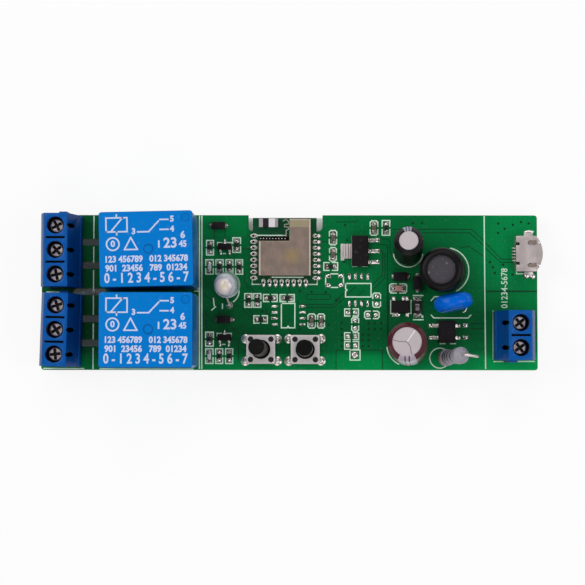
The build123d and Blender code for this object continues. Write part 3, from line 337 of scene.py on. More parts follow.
def tone(red, green, blue):
    """A colour as the eye reads it (0 to 255), in the numbers a shader takes."""
    def straight(value):
        value /= 255
        return value / 12.92 if value <= 0.04045 else ((value + 0.055) / 1.055) ** 2.4
    return (straight(red), straight(green), straight(blue), 1.0)


def node(tree, kind, inputs=(), **settings):
    """A shader node; each of its inputs is a plain value or another node's output."""
    made = put(tree.nodes.new("ShaderNode" + kind), **settings)
    for key, value in dict(inputs).items():
        if isinstance(value, bpy.types.NodeSocket):
            tree.links.new(value, made.inputs[key])
        else:
            made.inputs[key].default_value = value
    return made


def maths(tree, operation, *values, **settings):
    return node(tree, "Math", enumerate(values), operation=operation, **settings).outputs[0]


def vectors(tree, operation, a, b):
    made = node(tree, "VectorMath", {0: a, 1: b}, operation=operation)
    return made.outputs["Value" if operation in ("DISTANCE", "DOT_PRODUCT") else "Vector"]


def ranged(tree, value, low, high, to_low=0.0, to_high=1.0):
    return node(tree, "MapRange", {"Value": value, "From Min": low, "From Max": high,
                                   "To Min": to_low, "To Max": to_high}).outputs["Result"]


def mixed(tree, share, a, b):
    return node(tree, "Mix", {"Factor": share, "A": a, "B": b}, data_type="RGBA").outputs["Result"]


def lightened(tree, colour, value):
    return node(tree, "HueSaturation", {"Color": colour, "Value": value}).outputs["Color"]


def where(tree, kind="Object"):
    return node(tree, "TexCoord").outputs[kind]


def parts(tree, vector):
    return node(tree, "SeparateXYZ", {"Vector": vector}).outputs


def noise(tree, scale, detail, distortion=0.0, vector=None):
    return node(tree, "TexNoise", {"Vector": vector or where(tree), "Scale": scale, "Detail": detail,
                                   "Distortion": distortion}).outputs["Fac"]


def bare_tree(owner):
    """The emptied node tree of a material or world."""
    owner.use_nodes = True
    owner.node_tree.nodes.clear()
    return owner.node_tree


# Effects that the materials share


GRAIN_DEPTH = 0.00002
GREY = (0.5, 0.5, 0.5, 1)


def effect(output, kind, **inputs):
    """Makes a function of a tree and its inputs into a shader group of its name, with one output."""
    def group_of(function):
        tree = bpy.data.node_groups.new(function.__name__, "ShaderNodeTree")
        for label, value in inputs.items():
            socket = "NodeSocketColor" if isinstance(value, tuple) else "NodeSocketFloat"
            tree.interface.new_socket(name=label, in_out="INPUT", socket_type=socket).default_value = value
        tree.interface.new_socket(name=output, in_out="OUTPUT", socket_type=kind)
        result = function(tree, tree.nodes.new("NodeGroupInput").outputs)
        tree.links.new(result, tree.nodes.new("NodeGroupOutput").inputs[output])
        return tree
    return group_of


@effect("Colour", "NodeSocketColor", Colour=GREY, Amount=0.1, Scale=200.0)
def tone_drift(tree, given):
    """Slow changes of lightness over a surface."""
    share = maths(tree, "SUBTRACT", noise(tree, given["Scale"], 3.0), 0.5)
    return lightened(tree, given["Colour"], maths(tree, "MULTIPLY_ADD", share, given["Amount"], 1.0))


@effect("Roughness", "NodeSocketFloat", Roughness=0.4, Amount=0.1, Scale=400.0)
def sheen_drift(tree, given):
    """Slow changes of gloss over a surface, as handling leaves them."""
    share = ranged(tree, noise(tree, given["Scale"], 5.0), 0.0, 1.0, -1.0, 1.0)
    return maths(tree, "MULTIPLY_ADD", share, given["Amount"], given["Roughness"], use_clamp=True)


@effect("Normal", "NodeSocketVector", Scale=4000.0, Strength=0.1)
def grain(tree, given):
    """The fine texture of a moulded, plated or lacquered surface."""
    return node(tree, "Bump", {"Distance": GRAIN_DEPTH, "Height": noise(tree, given["Scale"], 2.0),
                               "Strength": given["Strength"]}).outputs["Normal"]


@effect("Colour", "NodeSocketColor", Colour=GREY, Amount=0.2, Scale=1500.0)
def dust(tree, given):
    """Small pale specks that settle on a surface."""
    specks = ranged(tree, noise(tree, given["Scale"], 1.0), 0.66, 0.78)
    share = maths(tree, "MULTIPLY", specks, given["Amount"], use_clamp=True)
    return mixed(tree, share, given["Colour"], tone(190, 188, 180))


# Paints: what gives a material its base colour where it isn't the same all over, painted light and shade among them


def ramp_of(tree, reach, stops, blend):
    """Turns a distance into a colour: stops are (distance, colour)."""
    last = stops[-1][0]
    ramp = node(tree, "ValToRGB", {"Fac": ranged(tree, reach, 0.0, last * MM)})
    ramp.color_ramp.interpolation = blend
    for index, (distance, colour) in enumerate(stops):
        if index < 2:
            stop = ramp.color_ramp.elements[index]
            stop.position = distance / last
        else:
            stop = ramp.color_ramp.elements.new(distance / last)
        stop.color = colour
    return ramp.outputs["Color"]


def rings(tree, centre, stops):
    """Colours that spread in rings about an upright line."""
    level = vectors(tree, "MULTIPLY", where(tree), (1, 1, 0))
    reach = vectors(tree, "DISTANCE", level, (centre[0] * MM, centre[1] * MM, 0))
    return ramp_of(tree, reach, [(at, tone(*colour)) for at, colour in stops], "LINEAR")


def bands(tree, start, along, stops):
    """Rings of colour along a line, the first from the start."""
    reach = vectors(tree, "DOT_PRODUCT", vectors(tree, "SUBTRACT", where(tree), Vector(start) * MM),
                    Vector(along).normalized())
    return ramp_of(tree, reach, [(at, tone(*colour)) for at, colour in stops], "CONSTANT")


# Painted light and shade on the solder mask: lightness stops along the board's width (rows) and length (columns),
# darker among the tall parts where shade falls, lighter at the front edge and the supply end where light falls
PAINTED_LIGHT_PEAK = 1.7
PAINTED_LIGHT_ROWS = [(0, 1.5), (2.4, 1.42), (4.2, 0.82), (7.5, 0.6), (11.5, 0.62), (15.5, 0.82), (20.5, 0.92), (32.6, 0.96)]
PAINTED_LIGHT_COLUMNS = [(0, 0.9), (6, 0.78), (13, 0.78), (21, 0.98), (70, 0.98), (76, 0.86), (90, 0.98), (96.5, 1.3),
                (104.2, 1.35)]


def painted_mask_light(tree):
    """Painted light and shade on the mask: darker among the tall parts, lighter at the front edge and the supply end.
    """
    point = parts(tree, where(tree))
    levels = []
    for axis, start, stops in (("Y", HALF_BOARD_WIDTH, PAINTED_LIGHT_ROWS), ("X", HALF_BOARD_LENGTH, PAINTED_LIGHT_COLUMNS)):
        greys = [(at, (share / PAINTED_LIGHT_PEAK,) * 3 + (1.0,)) for at, share in stops]
        levels.append(ramp_of(tree, maths(tree, "ADD", point[axis], start * MM), greys, "EASE"))
    return maths(tree, "MULTIPLY", maths(tree, "MULTIPLY", *levels), PAINTED_LIGHT_PEAK ** 2)


def pour(tree, colour):
    """Solder mask over copper, with the same painted light and shade as the mask around it."""
    return lightened(tree, tone(*colour), painted_mask_light(tree))


def laminate(tree, face, edge):
    """Solder mask on the broad faces with the cloth's weave faintly under it and painted light and shade over it,
    bare laminate on the edges.
    """
    threads = [node(tree, "TexWave", {"Vector": where(tree), "Scale": 320.0, "Distortion": 1.5}, wave_type="BANDS",
                    bands_direction=axis).outputs["Fac"] for axis in "XY"]
    weave = maths(tree, "MULTIPLY_ADD", maths(tree, "MULTIPLY", *threads), 0.10, 0.97)
    # Painted light: the mask grows lighter along the board from left to right
    painted_light_ramp = ranged(tree, parts(tree, where(tree))["X"], -52 * MM, 52 * MM, 0.82, 1.22)
    level = maths(tree, "MULTIPLY", maths(tree, "MULTIPLY", weave, painted_light_ramp), painted_mask_light(tree))
    upward = maths(tree, "ABSOLUTE", parts(tree, where(tree, "Normal"))["Z"])
    return mixed(tree, maths(tree, "GREATER_THAN", upward, 0.5), tone(*edge), lightened(tree, tone(*face), level))


def stained(tree, colour, other, centre, radius, stain):
    """Two close colours in soft blotches, with one stain that fades out at the radius."""
    stretched = node(tree, "Mapping", {"Vector": where(tree), "Scale": (1.6, 0.7, 1)}).outputs["Vector"]
    blotches = ranged(tree, noise(tree, 420.0, 4.0, vector=stretched), 0.38, 0.62)
    reach = vectors(tree, "DISTANCE", where(tree), Vector(centre) * MM)
    return mixed(tree, ranged(tree, reach, 0.0, radius * MM, 0.75, 0.0),
                 mixed(tree, blotches, tone(*colour), tone(*other)), tone(*stain))


def painted_solder_reflection(tree, dark, light, scale, low, high):
    """Painted reflection: bright and dark curls, as set solder mirrors its surroundings."""
    return mixed(tree, ranged(tree, noise(tree, scale, 1.5, 1.2), low, high), tone(*dark), tone(*light))


def painted_top_and_side_light(tree, flat, side):
    """Painted light and shade: one colour on level faces and another on upright ones, as the lamps light them."""
    upward = parts(tree, where(tree, "Normal"))["Z"]
    return mixed(tree, ranged(tree, upward, 0.45, 0.9), tone(*side), tone(*flat))


def stripe(tree, centre, along, base, print_colour, turn, half_angle, mark, mark_width):
    """A sleeve's printed stripe: a wedge about the can's axis with two dark lines along it."""
    upright = Vector((0, 0, 1)).rotation_difference(Vector(along).normalized())
    turned = (upright.to_matrix() @ Matrix.Rotation(math.radians(turn), 3, "Z")).to_euler()
    about = parts(tree, node(tree, "Mapping", {"Vector": where(tree), "Location": Vector(centre) * MM,
                                               "Rotation": turned}, vector_type="TEXTURE").outputs["Vector"])
    aside = maths(tree, "ABSOLUTE", maths(tree, "ARCTAN2", about["Y"], about["X"]))
    inside = maths(tree, "LESS_THAN", aside, math.radians(half_angle))
    line = maths(tree, "COMPARE", maths(tree, "ABSOLUTE", about["Y"]), mark * MM, mark_width * MM)
    striped = mixed(tree, inside, tone(*base), tone(*print_colour))
    return mixed(tree, maths(tree, "MULTIPLY", line, inside), striped, tone(*base))


# Finishes


def placed(tree, shared, **values):
    """One of the shared effects, placed in a material with its own values."""
    return node(tree, "Group", values, node_tree=shared).outputs[0]


def finish(name, colour, roughness, metallic=0.0, drift=(0.12, 180), gloss_change=0.08, texture=(0.15, 3500),
           specular=0.5, coat=0.0, specks=0.0, more=()):
    """A material from a colour, or from a paint and its values. Drift and texture are each an amount and a scale."""
    made = bpy.data.materials.new(name)
    tree = bare_tree(made)
    base = colour[0](tree, *colour[1:]) if callable(colour[0]) else tone(*colour)
    drifted = placed(tree, tone_drift, Colour=base, Amount=drift[0], Scale=drift[1])
    shader = node(tree, "BsdfPrincipled", {
        "Base Color": placed(tree, dust, Colour=drifted, Amount=specks, Scale=1400.0),
        "Roughness": placed(tree, sheen_drift, Roughness=roughness, Amount=gloss_change, Scale=500.0),
        "Normal": placed(tree, grain, Scale=texture[1], Strength=texture[0]),
        "Metallic": metallic, "Specular IOR Level": specular, "Coat Weight": coat, "Coat Roughness": 0.12,
        **dict(more)})
    node(tree, "OutputMaterial", {"Surface": shader.outputs["BSDF"]})
    return made


# Painted light and shade across the board's mask, through the laminate paint
board_mask = finish("solder_mask", (laminate, (0, 110, 57), (120, 112, 70)), 0.26, drift=(0.4, 45),
    texture=(0.05, 3500), specular=0.13, specks=0.04)
# Painted light and shade as on the mask around the pours
pour_mask = finish("mask_over_copper", (pour, (0, 118, 60)), 0.24, drift=(0.3, 60), texture=(0.08, 3500),
    specular=0.13, specks=0.04)
trace_gap = finish("mask_between_copper", (0, 48, 26), 0.32, drift=(0.2, 180), texture=(0.05, 3500), specular=0.2)
legend = finish("white_legend", (212, 240, 218), 0.6, drift=(0.25, 900), texture=(0.3, 3500), specular=0.2)
solder = finish("solder", (226, 223, 221), 0.18, 0.85, drift=(0.35, 900), gloss_change=0.12, texture=(0.5, 2200))
tin = finish("tinned_copper", (206, 200, 194), 0.26, 0.75, drift=(0.3, 900), gloss_change=0.12, texture=(0.4, 2200))
# Painted reflection: the pads' coat and the set solder in bright and dark curls
pad_tin = finish("pad_solder_coat", (painted_solder_reflection, (50, 43, 41), (218, 212, 206), 2600.0, 0.47, 0.56), 0.3, 0.7,
    drift=(0.2, 900), texture=(0.4, 3500))
pad_solder = finish("set_solder", (painted_solder_reflection, (62, 54, 52), (240, 236, 232), 2200.0, 0.42, 0.5), 0.2, 0.8,
    drift=(0.2, 900), texture=(0.5, 3500))
diode_end = finish("dull_lead", (112, 102, 104), 0.4, 0.6, drift=(0.5, 1500))
# Painted shade: the blue nylon darker on its slopes and sides
nylon = finish("blue_nylon", (painted_top_and_side_light, (0, 84, 164), (0, 66, 134)), 0.36, drift=(0.16, 120), texture=(0.25, 3500),
    specular=0.16, specks=0.06)
nylon_shade = finish("blue_nylon_in_shade", (3, 14, 52), 0.5, drift=(0.2, 400), specular=0.15)
# Painted shade: the relay case darker on its sides
relay_blue = finish("relay_case_blue", (painted_top_and_side_light, (0, 122, 208), (0, 96, 168)), 0.32, drift=(0.08, 70),
    texture=(0.12, 3500), specular=0.12, specks=0.05)
# Painted shade: a darker blue line where the relay case's mould marks sink in
relay_shade = finish("relay_mould_mark_shade", (0, 82, 150), 0.4, specular=0.2)
print_white = finish("pad_print", (205, 212, 240), 0.55, drift=(0.2, 1500), texture=(0.3, 3500), specular=0.2)
relay_black = finish("relay_base_black", (26, 26, 28), 0.5, specular=0.25, specks=0.15)
bobbin_white = finish("bobbin_nylon", (226, 220, 204), 0.5, specks=0.15)
copper = finish("enamelled_copper", (170, 92, 48), 0.3, 0.8, drift=(0.3, 400), coat=0.4)
zinc = finish("zinc_plate", (188, 186, 176), 0.34, 1.0, drift=(0.2, 300), texture=(0.3, 3500))
strip = finish("contact_strip", (200, 150, 104), 0.3, 1.0, drift=(0.2, 180))
# Painted glints: the strong tone drift speckles the nickel light and dark
nickel = finish("nickel_screw", (224, 214, 220), 0.2, 1.0, drift=(1.3, 2200), gloss_change=0.15, texture=(1.0, 1500))
# Painted shade: the screws' cross recess, the side of the head and the shank darker
screw_shade = finish("screw_painted_shade", (38, 34, 38), 0.4, 0.8, drift=(0.4, 1500))
steel = finish("plated_sheet", (187, 176, 175), 0.42, 0.75, drift=(0.12, 250), texture=(0.3, 3500), specular=0.4)
satin = finish("satin_cover", (194, 187, 188), 0.45, 0.5, drift=(0.12, 300), texture=(0.5, 2500))
shield_metal = finish("shield_sheet",
    (stained, (130, 116, 108), (146, 126, 114), seen(292, 256, 4.5), 2.4, (158, 134, 84)), 0.46, 0.55,
    drift=(0.25, 700), gloss_change=0.15, texture=(0.6, 1500), specular=0.4, specks=0.05)
shield_warm = finish("shield_sheet_warm", (160, 148, 120), 0.46, 0.55, drift=(0.2, 260), texture=(0.5, 1500),
    specular=0.4)
# Painted highlight: lighter strips where light catches the shield's bent edges
shield_highlight = finish("shield_bent_edge_highlight", (205, 196, 178), 0.4, 0.5, drift=(0.2, 700))
black_moulding = finish("black_moulding", (22, 20, 21), 0.42, drift=(0.2, 180), texture=(0.3, 3500), specular=0.3,
    specks=0.05)
# Painted light: the plunger black on its top, lighter on its lit sides
plunger_black = finish("plunger_black", (painted_top_and_side_light, (5, 5, 5), (62, 60, 57)), 0.45, drift=(0.2, 180),
    texture=(0.3, 3500), specular=0.1, specks=0.03)
package = finish("moulded_package", (23, 19, 22), 0.5, drift=(0.3, 500), texture=(0.6, 3000), specular=0.12,
    specks=0.05)
# Painted light and shade on the module's mask, as on the board's
module_mask = finish("module_mask", (laminate, (3, 74, 42), (84, 80, 52)), 0.3, drift=(0.3, 200), texture=(0.1, 3500),
    specular=0.22, specks=0.05)
# Painted shade: black put in holes and slots, and as the shadow beside the wireless module's shield
painted_black_shade = finish("painted_shade_black", (10, 9, 9), 0.6, drift=(0.3, 180), specular=0.1)
antenna_ceramic = finish("antenna_ceramic", (bands, (-6.47, 0, 0), (1, 0, 0), [
    (0.0, (170, 164, 168)), (0.87, (26, 18, 24)), (2.08, (222, 218, 222)), (3.42, (150, 146, 150)),
    (4.4, (150, 146, 150))]), 0.4, drift=(0.12, 900), texture=(0.2, 3500), specular=0.3)
chip_film = finish("chip_film", (26, 22, 24), 0.35, drift=(0.4, 1500), specular=0.3, specks=0.05)
chip_brown = finish("chip_ceramic_brown", (96, 84, 76), 0.45, drift=(0.35, 1500), specular=0.3)
chip_pink = finish("chip_ceramic_pink", (176, 132, 124), 0.45, drift=(0.3, 1500), specular=0.3)
lamp_clear = finish("chip_lamp_lens", (190, 188, 190), 0.2, drift=(0.3, 1500), coat=0.4)
black_sleeve = finish("black_sleeve", (9, 7, 9), 0.4, drift=(0.12, 180), texture=(0.1, 3500), specular=0.14)
can_top = finish("can_top", (196, 186, 190), 0.4, 0.3, drift=(0.15, 300), texture=(0.3, 3500), specular=0.4)
tab_metal = finish("pressed_tab", (198, 190, 190), 0.42, 0.35, drift=(0.3, 500), texture=(0.2, 3500), specular=0.4)
# Painted shade: darker lines where the tab's pressed grooves sink in
tab_groove_shade = finish("tab_groove_painted_shade", (142, 118, 120), 0.5, 0.3, drift=(0.2, 500), specular=0.3)
# Painted highlight and painted shade on the large can's vent score: a bright line where light catches one arm, darker
# lines in the other two
vent_score_highlight = finish("vent_score_highlight", (240, 236, 236), 0.5, 0.1, drift=(0.1, 180), specular=0.3)
vent_score_shade = finish("vent_score_shade", (146, 136, 140), 0.5, 0.3, drift=(0.2, 180), specular=0.3)
ferrite = finish("ferrite", (65, 61, 69), 0.6, drift=(0.3, 600), texture=(0.9, 2500), specular=0.25, specks=0.3)
epoxy_blue = finish("blue_epoxy", (0, 103, 217), 0.14, drift=(0.1, 140), gloss_change=0.03, texture=(0.25, 700),
    specular=0.12)


# The stage


def in_plain_view(tree):
    """1 for the rays that show the white background: from the camera, in gloss and through glass."""
    ray = node(tree, "LightPath").outputs
    return maths(tree, "MAXIMUM", maths(tree, "MAXIMUM", ray["Is Camera Ray"], ray["Is Glossy Ray"]),
                 ray["Is Transmission Ray"])


def floor_glow(tree):
    """How much the floor glows by itself: nothing under the board, where its slots show the floor."""
    point = parts(tree, where(tree))
    return maths(tree, "MAXIMUM", *(
        ranged(tree, maths(tree, "ABSOLUTE", point[axis]), half * MM, (half + 0.2) * MM, FLOOR_GLOW_UNDER, FLOOR_GLOW)
        for axis, half in (("X", 51.9), ("Y", 15.9))))


def make_floor():
    """A white floor, see-through from below so that the board's underside can be looked at."""
    settle()
    bpy.ops.mesh.primitive_plane_add(size=6, location=(0, 0, FLOOR_LEVEL * MM))
    floor = place(named("floor"))
    white = bpy.data.materials.new("floor_white")
    tree = bare_tree(white)
    paper = node(tree, "BsdfDiffuse", {"Color": (0.98, 0.98, 0.98, 1)}).outputs[0]
    glow = node(tree, "Emission").outputs[0]
    clear = node(tree, "BsdfTransparent").outputs[0]
    share = maths(tree, "MULTIPLY", in_plain_view(tree), floor_glow(tree))
    lit = node(tree, "MixShader", {0: share, 1: paper, 2: glow}).outputs[0]
    behind = node(tree, "NewGeometry").outputs["Backfacing"]
    node(tree, "OutputMaterial", {"Surface": node(tree, "MixShader", {0: behind, 1: lit, 2: clear}).outputs[0]})
    floor.data.materials.append(white)


def make_lights_and_camera():
    world = bpy.context.scene.world = bpy.data.worlds.new("studio")
    tree = bare_tree(world)
    around = node(tree, "Background", {"Color": WHITE, "Strength": SKY_STRENGTH}).outputs[0]
    level = maths(tree, "MAXIMUM", node(tree, "LightPath").outputs["Is Camera Ray"], SKY_IN_GLOSS)
    shown = node(tree, "Background", {"Color": WHITE, "Strength": level}).outputs[0]
    sky = node(tree, "MixShader", {0: in_plain_view(tree), 1: around, 2: shown}).outputs[0]
    node(tree, "OutputWorld", {"Surface": sky})
    for name, at, width, power in (
            ("left_softbox", (-0.42, 0.16, 0.42), 0.45, 1.9),
            ("right_softbox", (0.42, -0.10, 0.42), 0.45, 1.5),
            ("back_softbox", (0.05, 0.45, 0.42), 0.40, 1.1),
            ("front_softbox", (-0.05, -0.45, 0.42), 0.40, 0.85)):
        bpy.ops.object.light_add(type="AREA", location=at)
        lamp = put(bpy.context.object, name=name, rotation_euler=(-Vector(at)).to_track_quat("-Z", "Y").to_euler())
        put(lamp.data, shape="SQUARE", size=width, energy=power)

    bpy.ops.object.camera_add(location=CAMERA_PLACE * MM, rotation=(CAMERA_TILT, 0, CAMERA_ROLL))
    camera = bpy.context.scene.camera = put(bpy.context.object, name="camera")
    put(camera.data, lens=CAMERA_LENS, sensor_width=SENSOR, clip_start=0.001, clip_end=20)
    bpy.context.scene.view_settings.view_transform = "Standard"


# The board's printed and etched detail


HALF_LINE = 0.55  # of a printed line's width, in pixels


def brackets(u0, v0, u1, v1, gap=1.6, cut=0.0):
    """The two printed brackets round a small part, open at the middle of its long sides."""
    u0, v0, u1, v1 = u0 + HALF_LINE, v0 + HALF_LINE, u1 - HALF_LINE, v1 - HALF_LINE
    found = []
    for side in (-1, 1):
        if v1 - v0 > u1 - u0:
            open_at, v = (v0 + v1) / 2 + side * gap, v0 if side < 0 else v1
            found.append(run_of(u0, open_at, u0, v - side * cut, u0 + cut, v, u1 - cut, v, u1, v - side * cut,
                                u1, open_at))
        else:
            open_at, u = (u0 + u1) / 2 + side * gap, u0 if side < 0 else u1
            found.append(run_of(open_at, v0, u - side * cut, v0, u, v0 + cut, u, v1 - cut, u - side * cut, v1,
                                open_at, v1))
    return found


LEGEND_LINES = [  # u, v, u, v and so on, as run_of() takes them
    (43.7, 368.6, 83.7, 368.8), (47, 292, 84, 293), (194.5, 289, 199, 289), (194.5, 291.2, 199, 291.2),
    (199.4, 216.3, 199.4, 368.4), (201.8, 216.3, 201.8, 368.4), (100, 369, 193, 369.2), (484, 216.3, 485.6, 368.4),
    (494, 361.4, 534.4, 361.2), (493.2, 311, 493.2, 359), (516.4, 268, 516.4, 273.6, 525, 273.6),
    (213.3, 298.4, 214.2, 306), (211.6, 310.2, 215.6, 306.8), (222.4, 304, 222.4, 308.5),
    (257.5, 235.4, 285.8, 235.4),
    (281.3, 303.4, 294.8, 303.4, 294.8, 327.8, 289.2, 327.8, 288.1, 326.2, 287, 327.8, 281.3, 327.8, 281.3, 303.4),
    (345.5, 283.4, 371, 283.4, 371, 296.9, 345.5, 296.9, 345.5, 291.3, 347, 290, 345.5, 288.6, 345.5, 283.4),
    (390.8, 300.5, 390.8, 313.4, 393, 313.4), (411, 300.5, 411, 313.4, 409, 313.4), (413.4, 295.4, 423, 295.4),
    (413.4, 319.6, 423, 319.6), (431, 300.5, 434.5, 296.6, 446, 296.6),
    (431.2, 315, 433.8, 317.8, 468, 317.8, 470.8, 315), (440, 343.6, 445, 343.6), (450.5, 343.6, 455.5, 343.6),
    (352.5, 266.2, 356.6, 266.2), (362.6, 266.2, 366.8, 266.2), (350, 350, 360, 350, 360, 360, 350, 360, 350, 350),
    (217.4, 245, 217.4, 242.6, 222, 242.6), (226.6, 242.6, 231.4, 242.6, 231.4, 245),
    (217.2, 336, 217.2, 333.4, 221.8, 333.4), (226.4, 333.4, 231.2, 333.4, 231.2, 336), (223.2, 253.6, 225.4, 253.6),
    (222.8, 344.4, 225, 344.4), (325.6, 277, 325.6, 284.2), (331, 273.8, 337.6, 273.8), (331, 287.4, 337.6, 287.4),
    (343.4, 277, 343.4, 284.2)]
PLAIN_OUTLINES = [
    (205.9, 239.9, 214, 255.6), (232.1, 237.3, 241, 253), (205.2, 259.2, 213.8, 274.7), (215.3, 259.2, 223.7, 274.7),
    (225.3, 259.2, 233.4, 274.7), (235, 259.2, 243.1, 274.7), (205.1, 331.6, 213.9, 346.8),
    (205.1, 348.3, 213.6, 364.1), (215.1, 348.3, 223.3, 364.1), (225, 348.3, 233.3, 364.1),
    (244.1, 293.1, 252.5, 307.8), (253.1, 293.1, 261.4, 307.8), (262.9, 294, 277.7, 302.2),
    (279.4, 294, 294.8, 302.2), (253.2, 315.2, 267.9, 323.7), (323.1, 262, 338.1, 270.9),
    (381.5, 219.9, 390.2, 235.7), (344.1, 308.3, 358.9, 316.5), (344.1, 332.1, 359.2, 340.2),
    (344.1, 341, 359.2, 349.7)]
CHAMFERED_OUTLINES = [
    (307.4, 313.4, 315.9, 328.6), (317, 313.4, 325, 328.6), (328.7, 229.9, 337.1, 245.4),
    (328.9, 246.9, 336.8, 261.7), (369.5, 220.2, 378.2, 235.7), (389, 283.2, 407.1, 293.5),
    (372.2, 292.4, 381, 307.7), (351.2, 316.8, 359.2, 331.8), (364, 310.5, 379.6, 319.1)]


def make_legend():
    """The white printed outlines on the component side."""
    runs = []
    for v0, v1 in ((216.2, 238.2), (247.4, 262.4), (270.6, 290.3), (296, 314.4), (324, 339), (348.4, 369)):
        runs.append(run_of(93.9 - 0.9 * (v0 - 216) / 153, v0, 93.9 - 0.9 * (v1 - 216) / 153, v1))
    runs += [run_of(*pixels) for pixels in LEGEND_LINES]
    for box in PLAIN_OUTLINES:
        runs += brackets(*box)
    for box in CHAMFERED_OUTLINES:
        runs += brackets(*box, cut=1.5)
    for u, v, pixels, start, end in (
            (408, 252.2, 14.8, 188, 352), (445.8, 270.5, 23, -62, 78), (226, 291, 13, -55, 2),
            (439.8, 358, 10, 50, 330), (407.2, 345.6, 20.2, 185, 245)):
        runs.append(arc(seen(u, v), pixels / PIXELS_PER_MM, start, end))
    finished(strokes("legend_lines", runs), legend)
    dots = [(*spot(422, 316.4), 0.5, 0.5, 0.025, 0), (*spot(417.2, 274), 0.7, 0.25, 0.025, 20)]
    finished(blocks("legend_marks", dots), legend)


TRACE_GAPS = [
    (392.4, 229.2, 471.8, 229.2, 482.8, 239.9), (423, 232.7, 469.9, 232.7, 482.6, 244.8),
    (485.6, 242.9, 501.4, 258.9, 512.2, 259.2), (485.4, 247.7, 500.6, 262.2, 512.7, 262.2),
    (377, 238.1, 388.1, 239.2, 390, 243, 390, 253, 393.4, 255.8),
    (377, 243.9, 385.7, 244.6, 387.4, 246.3, 387.4, 349),
    (379, 250.1, 381.9, 251.1, 382.6, 253, 382.6, 275, 372.3, 284.6), (384.8, 253, 384.8, 277.9, 372.8, 289.3),
    (345, 292.2, 335, 301), (355, 286.9, 339.8, 302.2), (363.7, 290.3, 349.3, 303.7),
    (233.2, 305.2, 240.2, 306, 252.7, 319.5), (236, 300, 240.2, 300.9, 256, 318),
    (202.5, 293, 218.7, 307, 219.2, 314), (206.2, 311, 206.2, 327.5, 209.8, 329.3, 216.5, 329.3),
    (297.3, 300.7, 298.2, 304.3, 333, 304.7, 340, 298), (306.3, 307.4, 333.9, 307.4, 340, 301.2),
    (269.6, 286.6, 266.5, 291.9), (287.9, 286.6, 291.1, 291.9), (244.6, 272.3, 244.6, 283, 250, 291),
    (247, 284, 256.5, 293.4),
    (307.5, 294.4, 329, 294.4, 330.4, 295.6, 330.4, 298, 329, 299.4, 307.5, 299.4, 306, 298, 306, 295.6,
     307.5, 294.4),
    (242, 249, 252, 249), (320.5, 241.8, 328, 241.8), (232.4, 330, 246, 325.5), (266, 309, 266, 313.4, 270, 314.8),
    (336.2, 221.8, 356, 221.8, 358.4, 219.6), (460, 248, 468.5, 246, 482.6, 255.5), (388.2, 285, 388.2, 350),
    (382.4, 350, 382.4, 369.4), (336, 350, 382.4, 350), (336, 350, 336, 369.4), (471, 323.5, 483.8, 323.5),
    (471, 328.4, 483.8, 328.4), (486, 290.7, 536.6, 290.7), (486, 291.6, 536.6, 291.6), (214.2, 229.5, 214.2, 239.5),
    (225, 229.8, 225, 236), (290, 329.5, 290, 333.5), (238.5, 340, 238.5, 360), (232, 327.5, 238.6, 334)]
VIAS = (
    498, 223.3, 520.8, 221.8, 528.5, 223.2, 512.7, 224.7, 504.7, 228.6, 497.9, 232.8, 489.8, 261.9, 492.6, 267.1,
    494.7, 272.8, 512.4, 274.5, 503, 264.6, 368.5, 323.2, 374.7, 323.2, 381.2, 323.2, 368.5, 329, 374.7, 329,
    381.2, 329, 368.5, 334.5, 368.5, 340.2, 368.5, 346.3, 362.7, 346.3, 341.7, 323, 341.7, 329, 341.7, 334.8,
    341.7, 340.6, 341.7, 346.3, 362.7, 334.5, 362.7, 340.4, 412.8, 222.8, 421.9, 222.8, 339.6, 250.9, 328.6, 324.4,
    311.6, 292, 325.6, 292.3, 236.4, 270, 243.6, 331.6, 262.4, 311.4, 299.4, 329, 345, 225, 347, 240, 344, 262,
    300, 291, 336, 300)


def make_copper():
    """The gaps etched round traces and pours, the pours themselves and the vias."""
    lines = strokes("trace_gaps", [run_of(*pixels) for pixels in TRACE_GAPS], width=0.15, height=0.008)
    finished(lines, trace_gap)
    plates = [patch(u0, v1, u1, v0, 0.006) for u0, v0, u1, v1 in (
        (336.6, 350.6, 381.8, 369.4), (486.4, 292.2, 536.4, 369.0), (203, 216.4, 247, 236),
        (392, 216.5, 482, 228.6), (425, 233.4, 470, 247))]
    finished(blocks("copper_pours", plates), pour_mask)
    settle()
    bpy.ops.mesh.primitive_cylinder_add(vertices=12, radius=0.26 * MM, depth=0.02 * MM, location=(0, 0, 0))
    via = place(named("via"))
    edit(via)
    pick(via, lambda middle, normal: abs(normal.z) > 0.9)
    bpy.ops.mesh.inset(thickness=0.12 * MM)
    settle()
    spots = [(*spot(u, v, rise=0.006), 0) for u, v in pairs(VIAS)]
    finished(copies("vias", via, spots), trace_gap)


